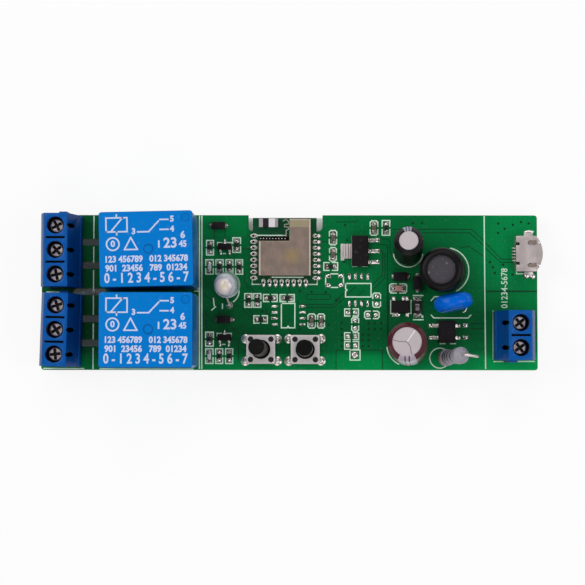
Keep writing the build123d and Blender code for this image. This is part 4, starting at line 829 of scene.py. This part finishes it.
def make_bare_pads():
    """Pads of the places that hold no part, each with its drop of solder."""
    places = [(u, v, 1.35, 0.55) for v in (306.3, 312.4, 318.3, 324.5) for u in (274.5, 302.4)]
    places += [(u, v, 0.55, 1.35) for u in (349.3, 355.3, 361.4, 367.7) for v in (276.6, 303.6)]
    places += [(u, v, 1.15, 0.85) for u, v in ((328.2, 276), (340.9, 276), (328.2, 285.2), (340.9, 285.2))]
    places += [(u, v, 0.9, 0.9) for u, v in (
        (376.6, 296.3), (376.6, 304), (348, 312.4), (355.2, 312.4), (355.2, 320.4), (355.2, 328.2),
        (368, 314.8), (375.7, 314.8), (348, 336.4), (355.3, 336.4), (348, 345.4), (355.3, 345.4))]
    places += [(354.9, 354.9, 1.35, 1.35)]
    places += [(u, v, 1.05, 0.8) for u in (431.4, 465.4) for v in (325.3, 337.4)]
    for v in (240.1, 251, 262):
        places += [(377.2, v, 1.0, 0.9), (373.8, v, 0.7, 0.7, 0.2)]
    pads, drops = [], []
    for u, v, length, width, *rise in places:
        pads.append((*spot(u, v), length, width, 0.03, 0))
        drops.append((*spot(u, v, rise=0.01), length * 0.48, width * 0.48, *(rise or [0.14]), 0))
    finished(blocks("bare_pads", pads), pad_tin)
    finished(beads("pad_solder", drops), pad_solder)
    # Painted shade in the pads' holes
    holes = [(u, v) for u in (431.8, 465.2) for v in (325.3, 337.4)] + [(378, v) for v in (240.1, 251, 262)]
    holes = [(*spot(u, v, rise=0.10), 0.19, 0.19, 0.06, 0) for u, v in holes]
    finished(beads("pad_holes", holes), painted_black_shade)


def lead_tips():
    """Where leads stand out below the board."""
    tips = []
    for name in ("terminal_pins", "relay_terminals", "button_bases", "output_capacitor", "input_capacitor",
                 "power_inductor", "varistor_disc", "fusible_resistor", "status_led"):
        low = [v.co / MM for v in NODES[name].data.vertices if v.co.z < -1.6 * MM]
        while low:
            near = [p for p in low if (p.xy - low[0].xy).length < 1.4]
            low = [p for p in low if (p.xy - low[0].xy).length >= 1.4]
            a, b = box_of(near)
            tips.append(((a.x + b.x) / 2, (a.y + b.y) / 2, 0.0, 0))
    return tips


def solder_joint(name, radius, height, down=False):
    """One solder joint round a lead: a collar that draws in to the lead in a hollow curve."""
    settle()
    bpy.ops.mesh.primitive_circle_add(vertices=16, radius=radius * MM, fill_type="NGON")
    piece = named(name)
    edit(piece)
    bpy.ops.mesh.select_all(action="SELECT")
    for share, narrow in ((0.12, 0.93), (0.25, 0.74), (0.33, 0.72), (0.30, 0.80)):
        bpy.ops.mesh.extrude_region_move(TRANSFORM_OT_translate={"value": (0, 0, height * share * MM)})
        bpy.ops.transform.resize(value=(narrow, narrow, 1))
    bpy.ops.mesh.select_all(action="SELECT")
    bpy.ops.mesh.normals_make_consistent(inside=False)
    smooth(piece, 60)
    if down:
        piece.data.transform(Matrix.Rotation(math.pi, 4, "X"))
    return piece


def make_joints():
    """Solder on the underside round every lead, and on top where it shows."""
    joints = copies("underside_solder", solder_joint("underside_joint", 1.0, 1.15, down=True), lead_tips())
    finished(joints, solder)
    spots = [(*spot(u, v), 0) for u, v in (
        (245.6, 338.9), (277.3, 338.9), (245.5, 361.2), (277.3, 361.0),
        (289.0, 338.9), (321.0, 338.7), (288.8, 361.2), (321.0, 361.0))]
    finished(copies("button_solder", solder_joint("button_joint", 0.98, 0.42), spots), tin)
    joint = solder_joint("lead_joint", 0.78, 0.6)
    finished(copies("lamp_solder", joint, [(*spot(229.4, 305.2), 0)]), solder)


# Chips and packages


FILTER_PLACE = Vector((22.8, 0.84))


def islands(name):
    """The middle and size of every separate solid of a CAD node."""
    mesh = NODES[name].data
    keys = [tuple(round(c * 1e7) for c in v.co) for v in mesh.vertices]
    parent = {key: key for key in keys}

    def root(key):
        while parent[key] != key:
            parent[key] = parent[parent[key]]
            key = parent[key]
        return key

    for face in mesh.polygons:
        for index in face.vertices[1:]:
            parent[root(keys[index])] = root(keys[face.vertices[0]])
    groups = {}
    for vertex, key in zip(mesh.vertices, keys):
        groups.setdefault(root(key), []).append(vertex.co / MM)
    found = [((low + high) / 2, high - low) for low, high in map(box_of, groups.values())]
    return sorted(found, key=lambda each: (round(each[0].x, 3), round(each[0].y, 3)))


def make_chips(source, name, film, cap=0.3, special=None):
    """Chips with separate ends and solder, at the places of a CAD node's solids."""
    bodies, others, ends, drops, feet = [], [], [], [], []
    for middle, size in islands(source):
        upright = size.y > size.x
        length, width, height = (size.y, size.x, size.z) if upright else size
        turn, along = (90, Vector((0, 1, 0))) if upright else (0, Vector((1, 0, 0)))
        core = block("core", length - 2 * cap + 0.1, width - 0.05, height - 0.05, 0.04)
        moved(core, middle.x, middle.y, BOARD_TOP + 0.01, turn)
        (others if special and (middle.xy - FILTER_PLACE).length < 1 else bodies).append(core)
        caps = []
        for side in (-1, 1):
            point = middle + along * (side * (length / 2 + 0.06))
            drops.append((point.x, point.y, BOARD_TOP, 0.36, width * 0.5, height * 0.8, turn))
            feet.append((point.x + along.x * side * 0.12, point.y + along.y * side * 0.12, BOARD_TOP,
                         0.72, width + 0.24, 0.03, turn))
            point = middle + along * (side * (length - cap) / 2)
            caps.append((point.x, point.y, BOARD_TOP, turn))
        ends.append(copies("ends", block("end", cap, width, height, 0.07), caps))
    finished(joined(f"{name}_bodies", bodies), film, stands_for=source)
    if others:
        finished(joined(f"{name}_large_bodies", others), special)
    finished(joined(f"{name}_ends", ends), pad_tin)
    finished(beads(f"{name}_solder", drops), pad_solder)
    finished(blocks(f"{name}_pads", feet), pad_tin)


def make_chip_print():
    """The plain number on the large chip resistor."""
    near = seen(417.8, 307).xy
    middle, size = min(islands("chip_resistors"), key=lambda each: (each[0].xy - near).length)
    word = printed_text("013", 0, 0, 1.1, BOARD_TOP + size.z - CHIP_CORE_DROP, 90, 0.02, bold=0.02, squeeze=0.85)
    finished(named("chip_print", moved(word, middle.x, middle.y, 0)), can_top)


TAB_FLAT_END = 12.9
TAB_END = 13.1


def make_tab():
    """The regulator's wide tab: its solder pad, the pressed ribs across its top and painted shade in the grooves
    between them.
    """
    low, high = box_of([v.co / MM for v in NODES["voltage_regulator"].data.vertices if v.co.x < TAB_FLAT_END * MM])
    pad = blocks("tab_pad", [patch(340.6, 260.4, 344.0, 243.7, 0.06)])
    finished(rounded(pad, 0.04), tab_metal)

    def across(name, height, lines):
        y, length = (low.y + high.y) / 2, high.y - low.y - 0.1
        return blocks(name, [(low.x + x, y, high.z - 0.01, width, length, height, 0) for x, width in lines])

    ribs = across("tab_ribs", 0.05, ((0.14, 0.14), (0.62, 0.3), (1.2, 0.2)))
    finished(rounded(ribs, 0.02), tab_metal)
    # Painted shade for the grooves
    finished(across("tab_grooves", 0.02, ((0.34, 0.14), (0.93, 0.16), (1.45, 0.14))), tab_groove_shade)


# For each package: its softened edges, and each solid's middle, the axis its leads point along and its body's half
PACKAGES = (
    ("bridge_rectifier", 0.06, [(32.896, -8.218, 0, 1.76)]),
    ("voltage_regulator", 0.06, [(14.796, 8.701, 0, 1.76)]),
    ("power_chip", 0.05, [(23.247, -2.980, 1, 1.31)]),
    ("driver_transistors", 0.04, [(-13.619, 9.591, 1, 0.66), (-13.650, -9.480, 1, 0.66)]),
    ("diodes", 0.04, [(-15.005, 14.051, 0, 1.41), (-13.796, -5.731, 0, 1.41), (23.268, 3.351, 0, 1.41),
                      (26.863, 2.031, 1, 1.41)]))


def make_packages():
    """Moulded packages with bright leads, from their CAD solids."""
    for source, soft, solids in PACKAGES:
        def part_of(middle, normal):
            if source == "voltage_regulator" and middle.x < TAB_END:
                return 2
            x, y, axis, half = min(solids, key=lambda each: (middle.xy - Vector(each[:2])).length)
            return abs(middle[axis] - (x, y)[axis]) > half

        metals = (diode_end if source == "diodes" else tin, tab_metal)
        materials = (package, *(metals if source == "voltage_regulator" else metals[:1]))
        looks(source, materials, part_of, softening=(soft,))
    make_tab()
    drops = [(*spot(u, v), along, across, rise, 0) for u, v, along, across, rise in (
        (370.1, 240.1, 0.42, 0.42, 0.9), (370.1, 251, 0.42, 0.42, 0.9), (370.1, 262, 0.42, 0.42, 0.9),
        (437.4, 325.3, 0.4, 0.42, 0.5), (437.4, 337.4, 0.4, 0.42, 0.5), (459, 325.3, 0.4, 0.42, 0.5),
        (459, 337.4, 0.4, 0.42, 0.5), (394.2, 298.8, 0.4, 0.5, 0.35), (403.4, 298.8, 0.3, 0.5, 0.35),
        (407.4, 298.8, 0.3, 0.5, 0.35), (397.2, 314.6, 0.7, 0.45, 0.3), (407.1, 314.8, 0.4, 0.45, 0.3),
        (392.6, 276, 0.22, 0.4, 0.3), (409, 276, 0.2, 0.35, 0.3), (417.4, 273.9, 0.35, 0.2, 0.3),
        (417.4, 291.7, 0.35, 0.2, 0.3), (226.9, 225.6, 0.3, 0.34, 0.5), (233.4, 319.7, 0.3, 0.34, 0.5),
        (220.7, 253.4, 0.3, 0.46, 0.36), (229.4, 253.4, 0.3, 0.46, 0.36), (224.6, 240.8, 0.26, 0.42, 0.36),
        (220.2, 344.8, 0.3, 0.46, 0.36), (228.8, 344.8, 0.3, 0.46, 0.36), (224.6, 331.6, 0.26, 0.42, 0.36))]
    finished(beads("package_solder", drops), solder)


# The parts on wires


def leaning(x, y, lean_x, lean_y, rise, lift):
    """The foot and the direction of a part that leans over the board."""
    along = Vector((lean_x, lean_y, rise)).normalized()
    return Vector((x, y, BOARD_TOP)) + along * lift, along


def split(foot, along, point):
    """How far a point is along a part's axis, and how far from it."""
    reach = (point - foot).dot(along)
    return reach, (point - foot - along * reach).length


def is_lead(foot, along):
    """Says whether a face is below a part's foot."""
    return lambda middle, normal: split(foot, along, middle)[0] < -0.02


def on_axis(piece, foot, along, height=0.0):
    """Moves a piece made at the origin onto a leaning part, at that height along its axis."""
    turn = Vector((0, 0, 1)).rotation_difference(along).to_matrix().to_4x4()
    piece.data.transform(Matrix.Translation((foot + along * height) * MM) @ turn)
    return piece


SMALL_CAN = leaning(24.956, 8.469, -0.76, 1.51, 11.0, 0.981)
LARGE_CAN = leaning(25.081, -11.469, -1.33, 0.98, 12.0, 1.071)
COIL_CAN = leaning(32.802, 4.551, -1.9, -0.3, 10.5, 1.344)
LAMP = leaning(-13.004, 1.571, 0.0, -0.3, 8.6, 2.2)
STANDING = leaning(31.781, -13.855, 2.75, 0.6, 8.0, 1.3)


def make_cans():
    black = finish("small_can_sleeve", (stripe, *SMALL_CAN, (13, 12, 15), (160, 158, 176), 95, 19, 0.3, 0.09),
                   0.3, drift=(0.1, 180), specular=0.25, texture=(0.1, 3500), specks=0.15)
    red = finish("large_can_sleeve", (stripe, *LARGE_CAN, (74, 22, 32), (176, 166, 180), -90, 28, 0.42, 0.13),
                 0.3, drift=(0.1, 180), specular=0.35, coat=0.2, texture=(0.1, 3500), specks=0.15)

    def can(source, axis, sleeve, face_name, face_finish, radius, height):
        looks(source, (sleeve, tin), is_lead(*axis))
        finished(on_axis(round_bar(face_name, 0, 0, 0, radius, 0.03, 64), *axis, height), face_finish)

    can("output_capacitor", SMALL_CAN, black, "output_capacitor_top_disc", can_top, 1.97, 10.85)
    can("input_capacitor", LARGE_CAN, red, "input_capacitor_top_disc", can_top, 2.97, 11.85)
    # The vent score on the large can's top: a painted highlight along one arm, painted shade in the other two
    for name, run, wide, material in (
            ("can_vent_ridge", [(0.05, 0.06), (1.55, 2.2)], 0.2, vent_score_highlight),
            ("can_vent_groove_1", [(-0.1, 0), (-1.5, 0.05), (-2.7, 0.35)], 0.22, vent_score_shade),
            ("can_vent_groove_2", [(0.05, -0.1), (0.6, -0.9), (0.9, -2.5)], 0.22, vent_score_shade)):
        line = on_axis(strokes(name, [run], width=wide, level=0, height=0.015), *LARGE_CAN, 11.885)
        finished(line, material)
    can("power_inductor", COIL_CAN, black_sleeve, "inductor_core_face", ferrite, 2.88, 10.0)


def make_disc():
    looks("varistor_disc", (epoxy_blue, tin), lambda middle, normal: middle.z < 2.7, "varistor_looks")
    bend = strokes("varistor_lead_bend", [arc(seen(461.6, 307.6), 0.95, -75, 10, 8)], width=0.26, height=0.3)
    finished(rounded(bend, 0.06, 2, 60), solder)


def make_standing_resistor():
    lilac, dark, brown = (156, 152, 163), (58, 46, 48), (122, 100, 88)
    stops = [(0.0, brown), (1.5, lilac), (2.3, dark), (2.7, lilac), (3.3, dark), (3.7, lilac), (4.5, dark),
             (4.9, lilac), (5.9, dark), (6.35, lilac), (10.0, lilac)]
    lacquer = finish("resistor_lacquer", (bands, *STANDING, stops), 0.45, drift=(0.12, 400), texture=(0.35, 3500),
                     specular=0.3, specks=0.15)

    def part_of(middle, normal):
        reach, out = split(*STANDING, middle)
        return reach < -0.02 or reach > 9.42 or out > 1.9

    looks("fusible_resistor", (lacquer, tin), part_of, "standing_resistor_looks")


def make_lamp():
    foot, along = LAMP
    centre = (foot + along * 8).xy + Vector((-0.5, -0.4))
    # The rings paint light over the lens's milky white: a bright warm highlight at the middle, a shaded ring at the
    # dome's edge and the board's green as painted reflection at the rim
    stops = [(0.0, (250, 238, 205)), (0.8, (250, 232, 222)), (1.5, (236, 224, 226)), (1.75, (190, 192, 200)),
             (2.3, (216, 218, 230)), (2.9, (140, 172, 156)), (3.4, (150, 180, 164))]
    lens = finish("milky_lens_painted_light", (rings, centre, stops), 0.18, drift=(0.12, 600), coat=0.5, texture=(0.08, 3500),
                  more={"Transmission Weight": 0.22, "Subsurface Weight": 0.25,
                        "Subsurface Radius": (1.0, 0.8, 0.7), "Subsurface Scale": 0.001})
    looks("status_led", (lens, tin), is_lead(*LAMP), "lamp_looks")


# Terminal blocks, relays, buttons, socket, module


def make_housings():
    wells = [sum(extent(f"clamp_screw_{number}"), Vector()) / 2 for number in range(1, 9)]
    between = [(a + b) / 2 for a in wells for b in wells if abs(a.x - b.x) < 0.5 and 4.5 < a.y - b.y < 5.3]
    for source in ("relay_terminal_1_housing", "relay_terminal_2_housing", "supply_terminal_housing"):
        top = extent(source)[1].z

        def part_of(middle, normal):
            """Painted shade: 1 for the wall of a well; 2, black, for the slots and probe holes."""
            near = min((middle.xy - well.xy).length for well in wells)
            if near < 1.8 and middle.z < 11.2 and abs(normal.z) < 0.6:
                return 1
            if any(abs(middle.y - slot.y) < 0.4 and abs(middle.x - slot.x) < 2.05 for slot in between):
                return 2 if top - 1.2 < middle.z < top - 0.1 else 0
            inside = any(abs(middle.y - well.y) < 0.56 and 2.2 < abs(middle.x - well.x) < 3.5 for well in wells)
            walls = (abs(normal.z) < 0.05 or normal.z > 0.9) and abs(normal.x) < 0.9999
            return 2 if inside and middle.z > 6 and walls else 0

        looks(source, (nylon, nylon_shade, painted_black_shade), part_of, softening=(0.07, 2, 30))


def make_screws():
    """Cross-head screws, each turned its own way."""
    for number, turn in enumerate((28, 40, 12, 18, 33, 6, 36, 40), start=1):
        source = f"clamp_screw_{number}"
        low, high = extent(source)
        x, y = (low + high).xy / 2
        top = high.z
        head = rounded(round_bar(source + "_head", x, y, top - 1.7, 1.5, 1.7, 28), 0.3, 3, 40)
        cut(head, *[blocks(f"{source}_arm_{extra}", [(x, y, top - 0.75, 2.3, 0.62, 2.0, turn + extra)])
                    for extra in (0, 90)])
        shank = round_bar(source + "_shank", x, y, low.z, 1.2, top - 1.7 - low.z, 20)
        piece = smooth(joined(source + "_looks", [head, shank]), 40)
        # Painted shade on the faces below the top of the head: the cross recess, the head's side and the shank
        finished(piece, (nickel, screw_shade), source, lambda middle, normal: middle.z < top - 0.35, source)


DIAGRAM = (  # the coil's box and its lead lines, the switch and its two poles, the ring and the triangle
    pairs((-7.9, 3.5, -7.9, 6.3, -3.7, 6.3, -3.7, 3.5, -7.9, 3.5)), pairs((-7.0, 3.5, -4.6, 6.3)),
    pairs((-5.8, 6.3, -5.8, 6.9)), pairs((-5.8, 3.5, -5.8, 2.9)), pairs((-1.6, 3.4, 0.6, 3.4, 2.6, 5.5)),
    pairs((2.9, 3.8, 4.5, 3.8)), pairs((2.9, 5.8, 4.5, 5.8)), arc((-6.6, 1.05), 1.25, 0, 360, 32),
    pairs((-4.3, -0.1, -3.0, 2.3, -1.7, -0.1, -4.3, -0.1)))
NUMBERS = (
    ("3", -2.4, 3.5, 1.6, 1), ("4", 5.3, 3.85, 1.6, 1), ("5", 5.3, 5.85, 1.6, 1), ("0", -6.6, 1.05, 1.7, 1),
    ("6", 7.4, 2.6, 1.9, 1), ("1", 2.6, 0.8, 1.9, 1), ("23", 4.9, 1.0, 2.8, 1), ("45", 7.4, 0.8, 1.7, 0.9),
    ("123 456789   012 345678", 0, -2.05, 1.75, 0.92), ("901  23456   789  01234", 0, -3.85, 1.75, 0.94),
    ("0 - 1 2 3 4 - 5 6 - 7", 0, -5.85, 2.75, 0.79))


def make_relays():
    """A plain contact diagram with pin numbers on each relay, in place of its maker's print."""
    for number, x, y, lean, ring_y in ((1, -28.6863, 8.1011, 1.3, -0.02), (2, -28.6863, -8.1011, 0, 0.12)):
        source = f"relay_{number}_cover"
        cover = likeness(source)
        edit(cover)
        pick(cover, lambda middle, normal: middle.z > CAD_RELAY_TOP - 0.01, "VERT")
        bpy.ops.transform.translate(value=(0, 0, (RELAY_TOP - CAD_RELAY_TOP) * MM))
        settle()
        finished(cover, relay_blue, source)
        # Painted shade round the two mould marks on each cover
        lines = strokes(f"relay_{number}_painted_ring_shade", [
            arc((0.48, ring_y), 0.93, 0, 360, 24), arc((7.95, 6.1), 0.8, 0, 360, 20)], 0.13, RELAY_TOP, 0.012)
        finished(moved(lines, x, y, 0, lean), relay_shade)
        lines = strokes(f"relay_{number}_diagram", DIAGRAM, 0.3, RELAY_TOP, 0.02)
        words = [printed_text(text, a, b, size, RELAY_TOP, height=0.021, bold=0.07, squeeze=squeeze)
                 for text, a, b, size, squeeze in NUMBERS]
        piece = moved(joined(f"relay_{number}_print", [lines] + words), x, y, 0, lean)
        finished(piece, print_white)


BUTTONS = ((-5.971, -11.951), (3.261, -11.971))


def make_buttons():
    """The riveted covers, each a folded plate with a round hole, the bases and the snap domes."""
    plates, rivets = [], []
    for x, y in BUTTONS:
        plate = blocks("button_plate", [(x, y, 3.5, 6.0, 6.0, 1.6, 0)])
        edit(plate)
        pick(plate, lambda middle, along: abs(along.z) > 0.9, "EDGE")
        bpy.ops.transform.edge_bevelweight(value=1.0)
        settle()
        modified(plate, "BEVEL", width=0.4 * MM, segments=3, limit_method="WEIGHT")
        rounded(plate, 0.1, 2, 60)
        inner = blocks("button_plate_inner", [(x, y, 2.5, 5.4, 5.4, 2.3, 0)])
        cut(plate, inner, round_bar("button_plate_hole", x, y, 3.0, 2.0, 4.0, 40))
        plates.append(plate)
        rivets += [(x + a, y + b, 5.085, 0.62, 0.62, 0.07, 0) for a in (-2.12, 2.12) for b in (-2.12, 2.12)]
    finished(smooth(joined("button_covers_looks", plates)), satin, "button_covers")
    finished(beads("button_rivets", rivets), black_moulding)

    def is_leg(middle, normal):
        return middle.z < BOARD_TOP or min(abs(middle.x - x) for x, y in BUTTONS) > 2.95

    looks("button_bases", (black_moulding, tin), is_leg)
    for number in (1, 2):
        source = f"button_{number}_dome"
        dome = looks(source, steel)
        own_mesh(dome)


def make_socket():
    looks("usb_shell", steel, softening=(0.05, 2, 30))
    looks("usb_tongue", (black_moulding, tin), lambda middle, normal: middle.x < 47.54)
    drops = [(*spot(513.8, v), 0.26, 0.2, 0.6, 0) for v in (248.4, 251.5, 254.6, 257.8, 260.9)]
    drops += [(*spot(u, v), length, width, 0.42, 0)
              for u, v, length, width in ((529, 231.6, 1.1, 0.4), (526.6, 275.8, 0.6, 0.6), (532.6, 276.2, 0.6, 0.6))]
    finished(beads("socket_solder", drops), solder)
    top = extent("usb_shell")[1].z
    springs = [patch(529.0, v + 1.5, 536.4, v - 1.4, 0.12, top, -0.2) for v in (242.2, 264.8)]
    tips = [(*spot(538.6, v + 0.2, top, -0.01), 0.26, 0.24, 0.06, 0) for v in (242.2, 264.8)]
    finished(blocks("socket_springs", springs), shield_metal)
    finished(beads("socket_spring_tips", tips), solder)
    line = printed_text("01234-5678", 0, 0, 1.85, BOARD_TOP, 90, 0.025, bold=0.02, squeeze=0.95)
    finished(named("supply_print", moved(line, *spot(504.6, 288.0)[:2], 0)), legend)


PAD_PITCH = 1.27


def make_module():
    """The wireless module's plated half holes with painted shade in them, their solder, its printed detail and a band
    of painted shadow by the shield.
    """
    middle_x, middle_y, rows_y = -1.032, 8.802, 7.452
    left, right, low = middle_x - 6.7, middle_x + 6.7, middle_y - 6.85
    rows, columns = ([middle + (i - 3.5) * PAD_PITCH for i in range(8)] for middle in (rows_y, middle_x))

    def edge_beads(name, z, height, *sides):
        """Beads along the left, right and front edge: for each its distance inwards, half length and half width."""
        (a, *size_a), (b, *size_b), (c, *size_c) = sides
        height = height if isinstance(height, tuple) else (height,) * 3
        return beads(name, [(left + a, y, z, *size_a, height[0], 0) for y in rows]
                     + [(right - b, y, z, *size_b, height[1], 0) for y in rows]
                     + [(x, low + c, z, *size_c, height[2], 0) for x in columns])

    finished(edge_beads("module_pads", MODULE_TOP - 0.01, 0.05, (0.28, 0.75, 0.46), (0.3, 0.55, 0.42),
                        (0.35, 0.42, 0.6)), tin)
    finished(edge_beads("module_solder", BOARD_TOP, (0.8, 0.6, 0.6), (-0.1, 0.5, 0.44), (-0.42, 0.62, 0.5),
                        (-0.3, 0.48, 0.62)), solder)
    # Painted shade in the plated half holes
    finished(edge_beads("module_holes", MODULE_TOP + 0.005, 0.06, (0.12, 0.29, 0.27), (0.08, 0.24, 0.22),
                        (0.1, 0.25, 0.27)), painted_black_shade)
    runs = [run_of(257.5, 235.4, 285.8, 235.4, level=MODULE_TOP), run_of(272, 277.3, 302.9, 277.3, level=MODULE_TOP)]
    finished(strokes("module_legend", runs, level=MODULE_TOP), legend)
    # Painted shadow: a black band on the module beside the shield, where its shadow falls
    band = blocks("module_painted_shadow_band", [patch(258.2, 240.4, 289.4, 236.4, 0.02, MODULE_TOP)])
    finished(band, painted_black_shade)
    dots = [(*spot(260.5 + 3.05 * i, 238.7, MODULE_TOP, 0.015), 0.13, 0.12, 0.03, 0) for i in range(9)]
    finished(beads("module_band_dots", dots), tin)
    trace = run_of(283, 221, 286, 219.4, 288.4, 221.4, 288.4, 224, 284.4, 224.6, 284.4, 226.8, 288.4, 227.2,
                   288.4, 229.4, 286, 230.2, 286, 236.2, level=MODULE_TOP)
    finished(strokes("module_antenna_trace", [trace], 0.2, MODULE_TOP, 0.03), tin)
    corners = [run_of(252.2, 278.6, 252.2, 284.4, 260.4, 284.4), run_of(308.6, 284.4, 317, 284.4, 317, 279.4),
               run_of(257, 233, 257, 231.8, 259, 231.8)]
    finished(strokes("module_corner_marks", corners, width=0.26), legend)


def make_shield_detail():
    """Painted highlights along the shield's bent edges and the line of its step, and the warmer sheet beyond it."""
    top = extent("wifi_shield")[1].z
    edges = [patch(*corners, 0.02, top) for corners in (
        (258.9, 241.2, 260.4, 275.2), (309, 219.2, 310.4, 275.4), (290, 219.2, 308.9, 220))]
    finished(blocks("shield_edges", edges), shield_highlight)
    arm = blocks("shield_arm_plate", [patch(289.9, 220.1, 308.6, 227, 0.012, top)])
    finished(arm, shield_warm)


# The CAD nodes that keep their shape
for ending, material in {
        "circuit_board": board_mask, "_cover": relay_blue, "relay_bases": relay_black, "relay_bobbins": bobbin_white,
        "relay_windings": copper, "_terminals": tin, "terminal_pins": tin, "_plunger": plunger_black,
        "wifi_board": module_mask, "wifi_shield": shield_metal, "wifi_chips": package,
        "chip_antenna": antenna_ceramic, "chip_leds": lamp_clear, "_iron_frame": zinc, "_armature": zinc,
        "_contact_spring": strip}.items():
    for name in NODES:
        if name.endswith(ending):
            NODES[name].data.materials.clear()
            NODES[name].data.materials.append(material)
for number in range(1, 9):
    NODES[f"clamp_cage_{number}"].data.materials.clear()
    NODES[f"clamp_cage_{number}"].data.materials.append(zinc)

make_floor()
make_lights_and_camera()
make_legend()
make_copper()
make_bare_pads()
make_joints()
make_chips("chip_resistors", "resistor_chips", chip_film)
make_chips("chip_capacitors", "capacitor_chips", chip_brown, special=chip_pink)
make_chips("chip_leds", "lamp_chips", lamp_clear)
make_chip_print()
make_packages()
make_cans()
make_disc()
make_standing_resistor()
make_lamp()
make_housings()
make_screws()
make_relays()
make_buttons()
make_socket()
make_module()
make_shield_detail()

settle()
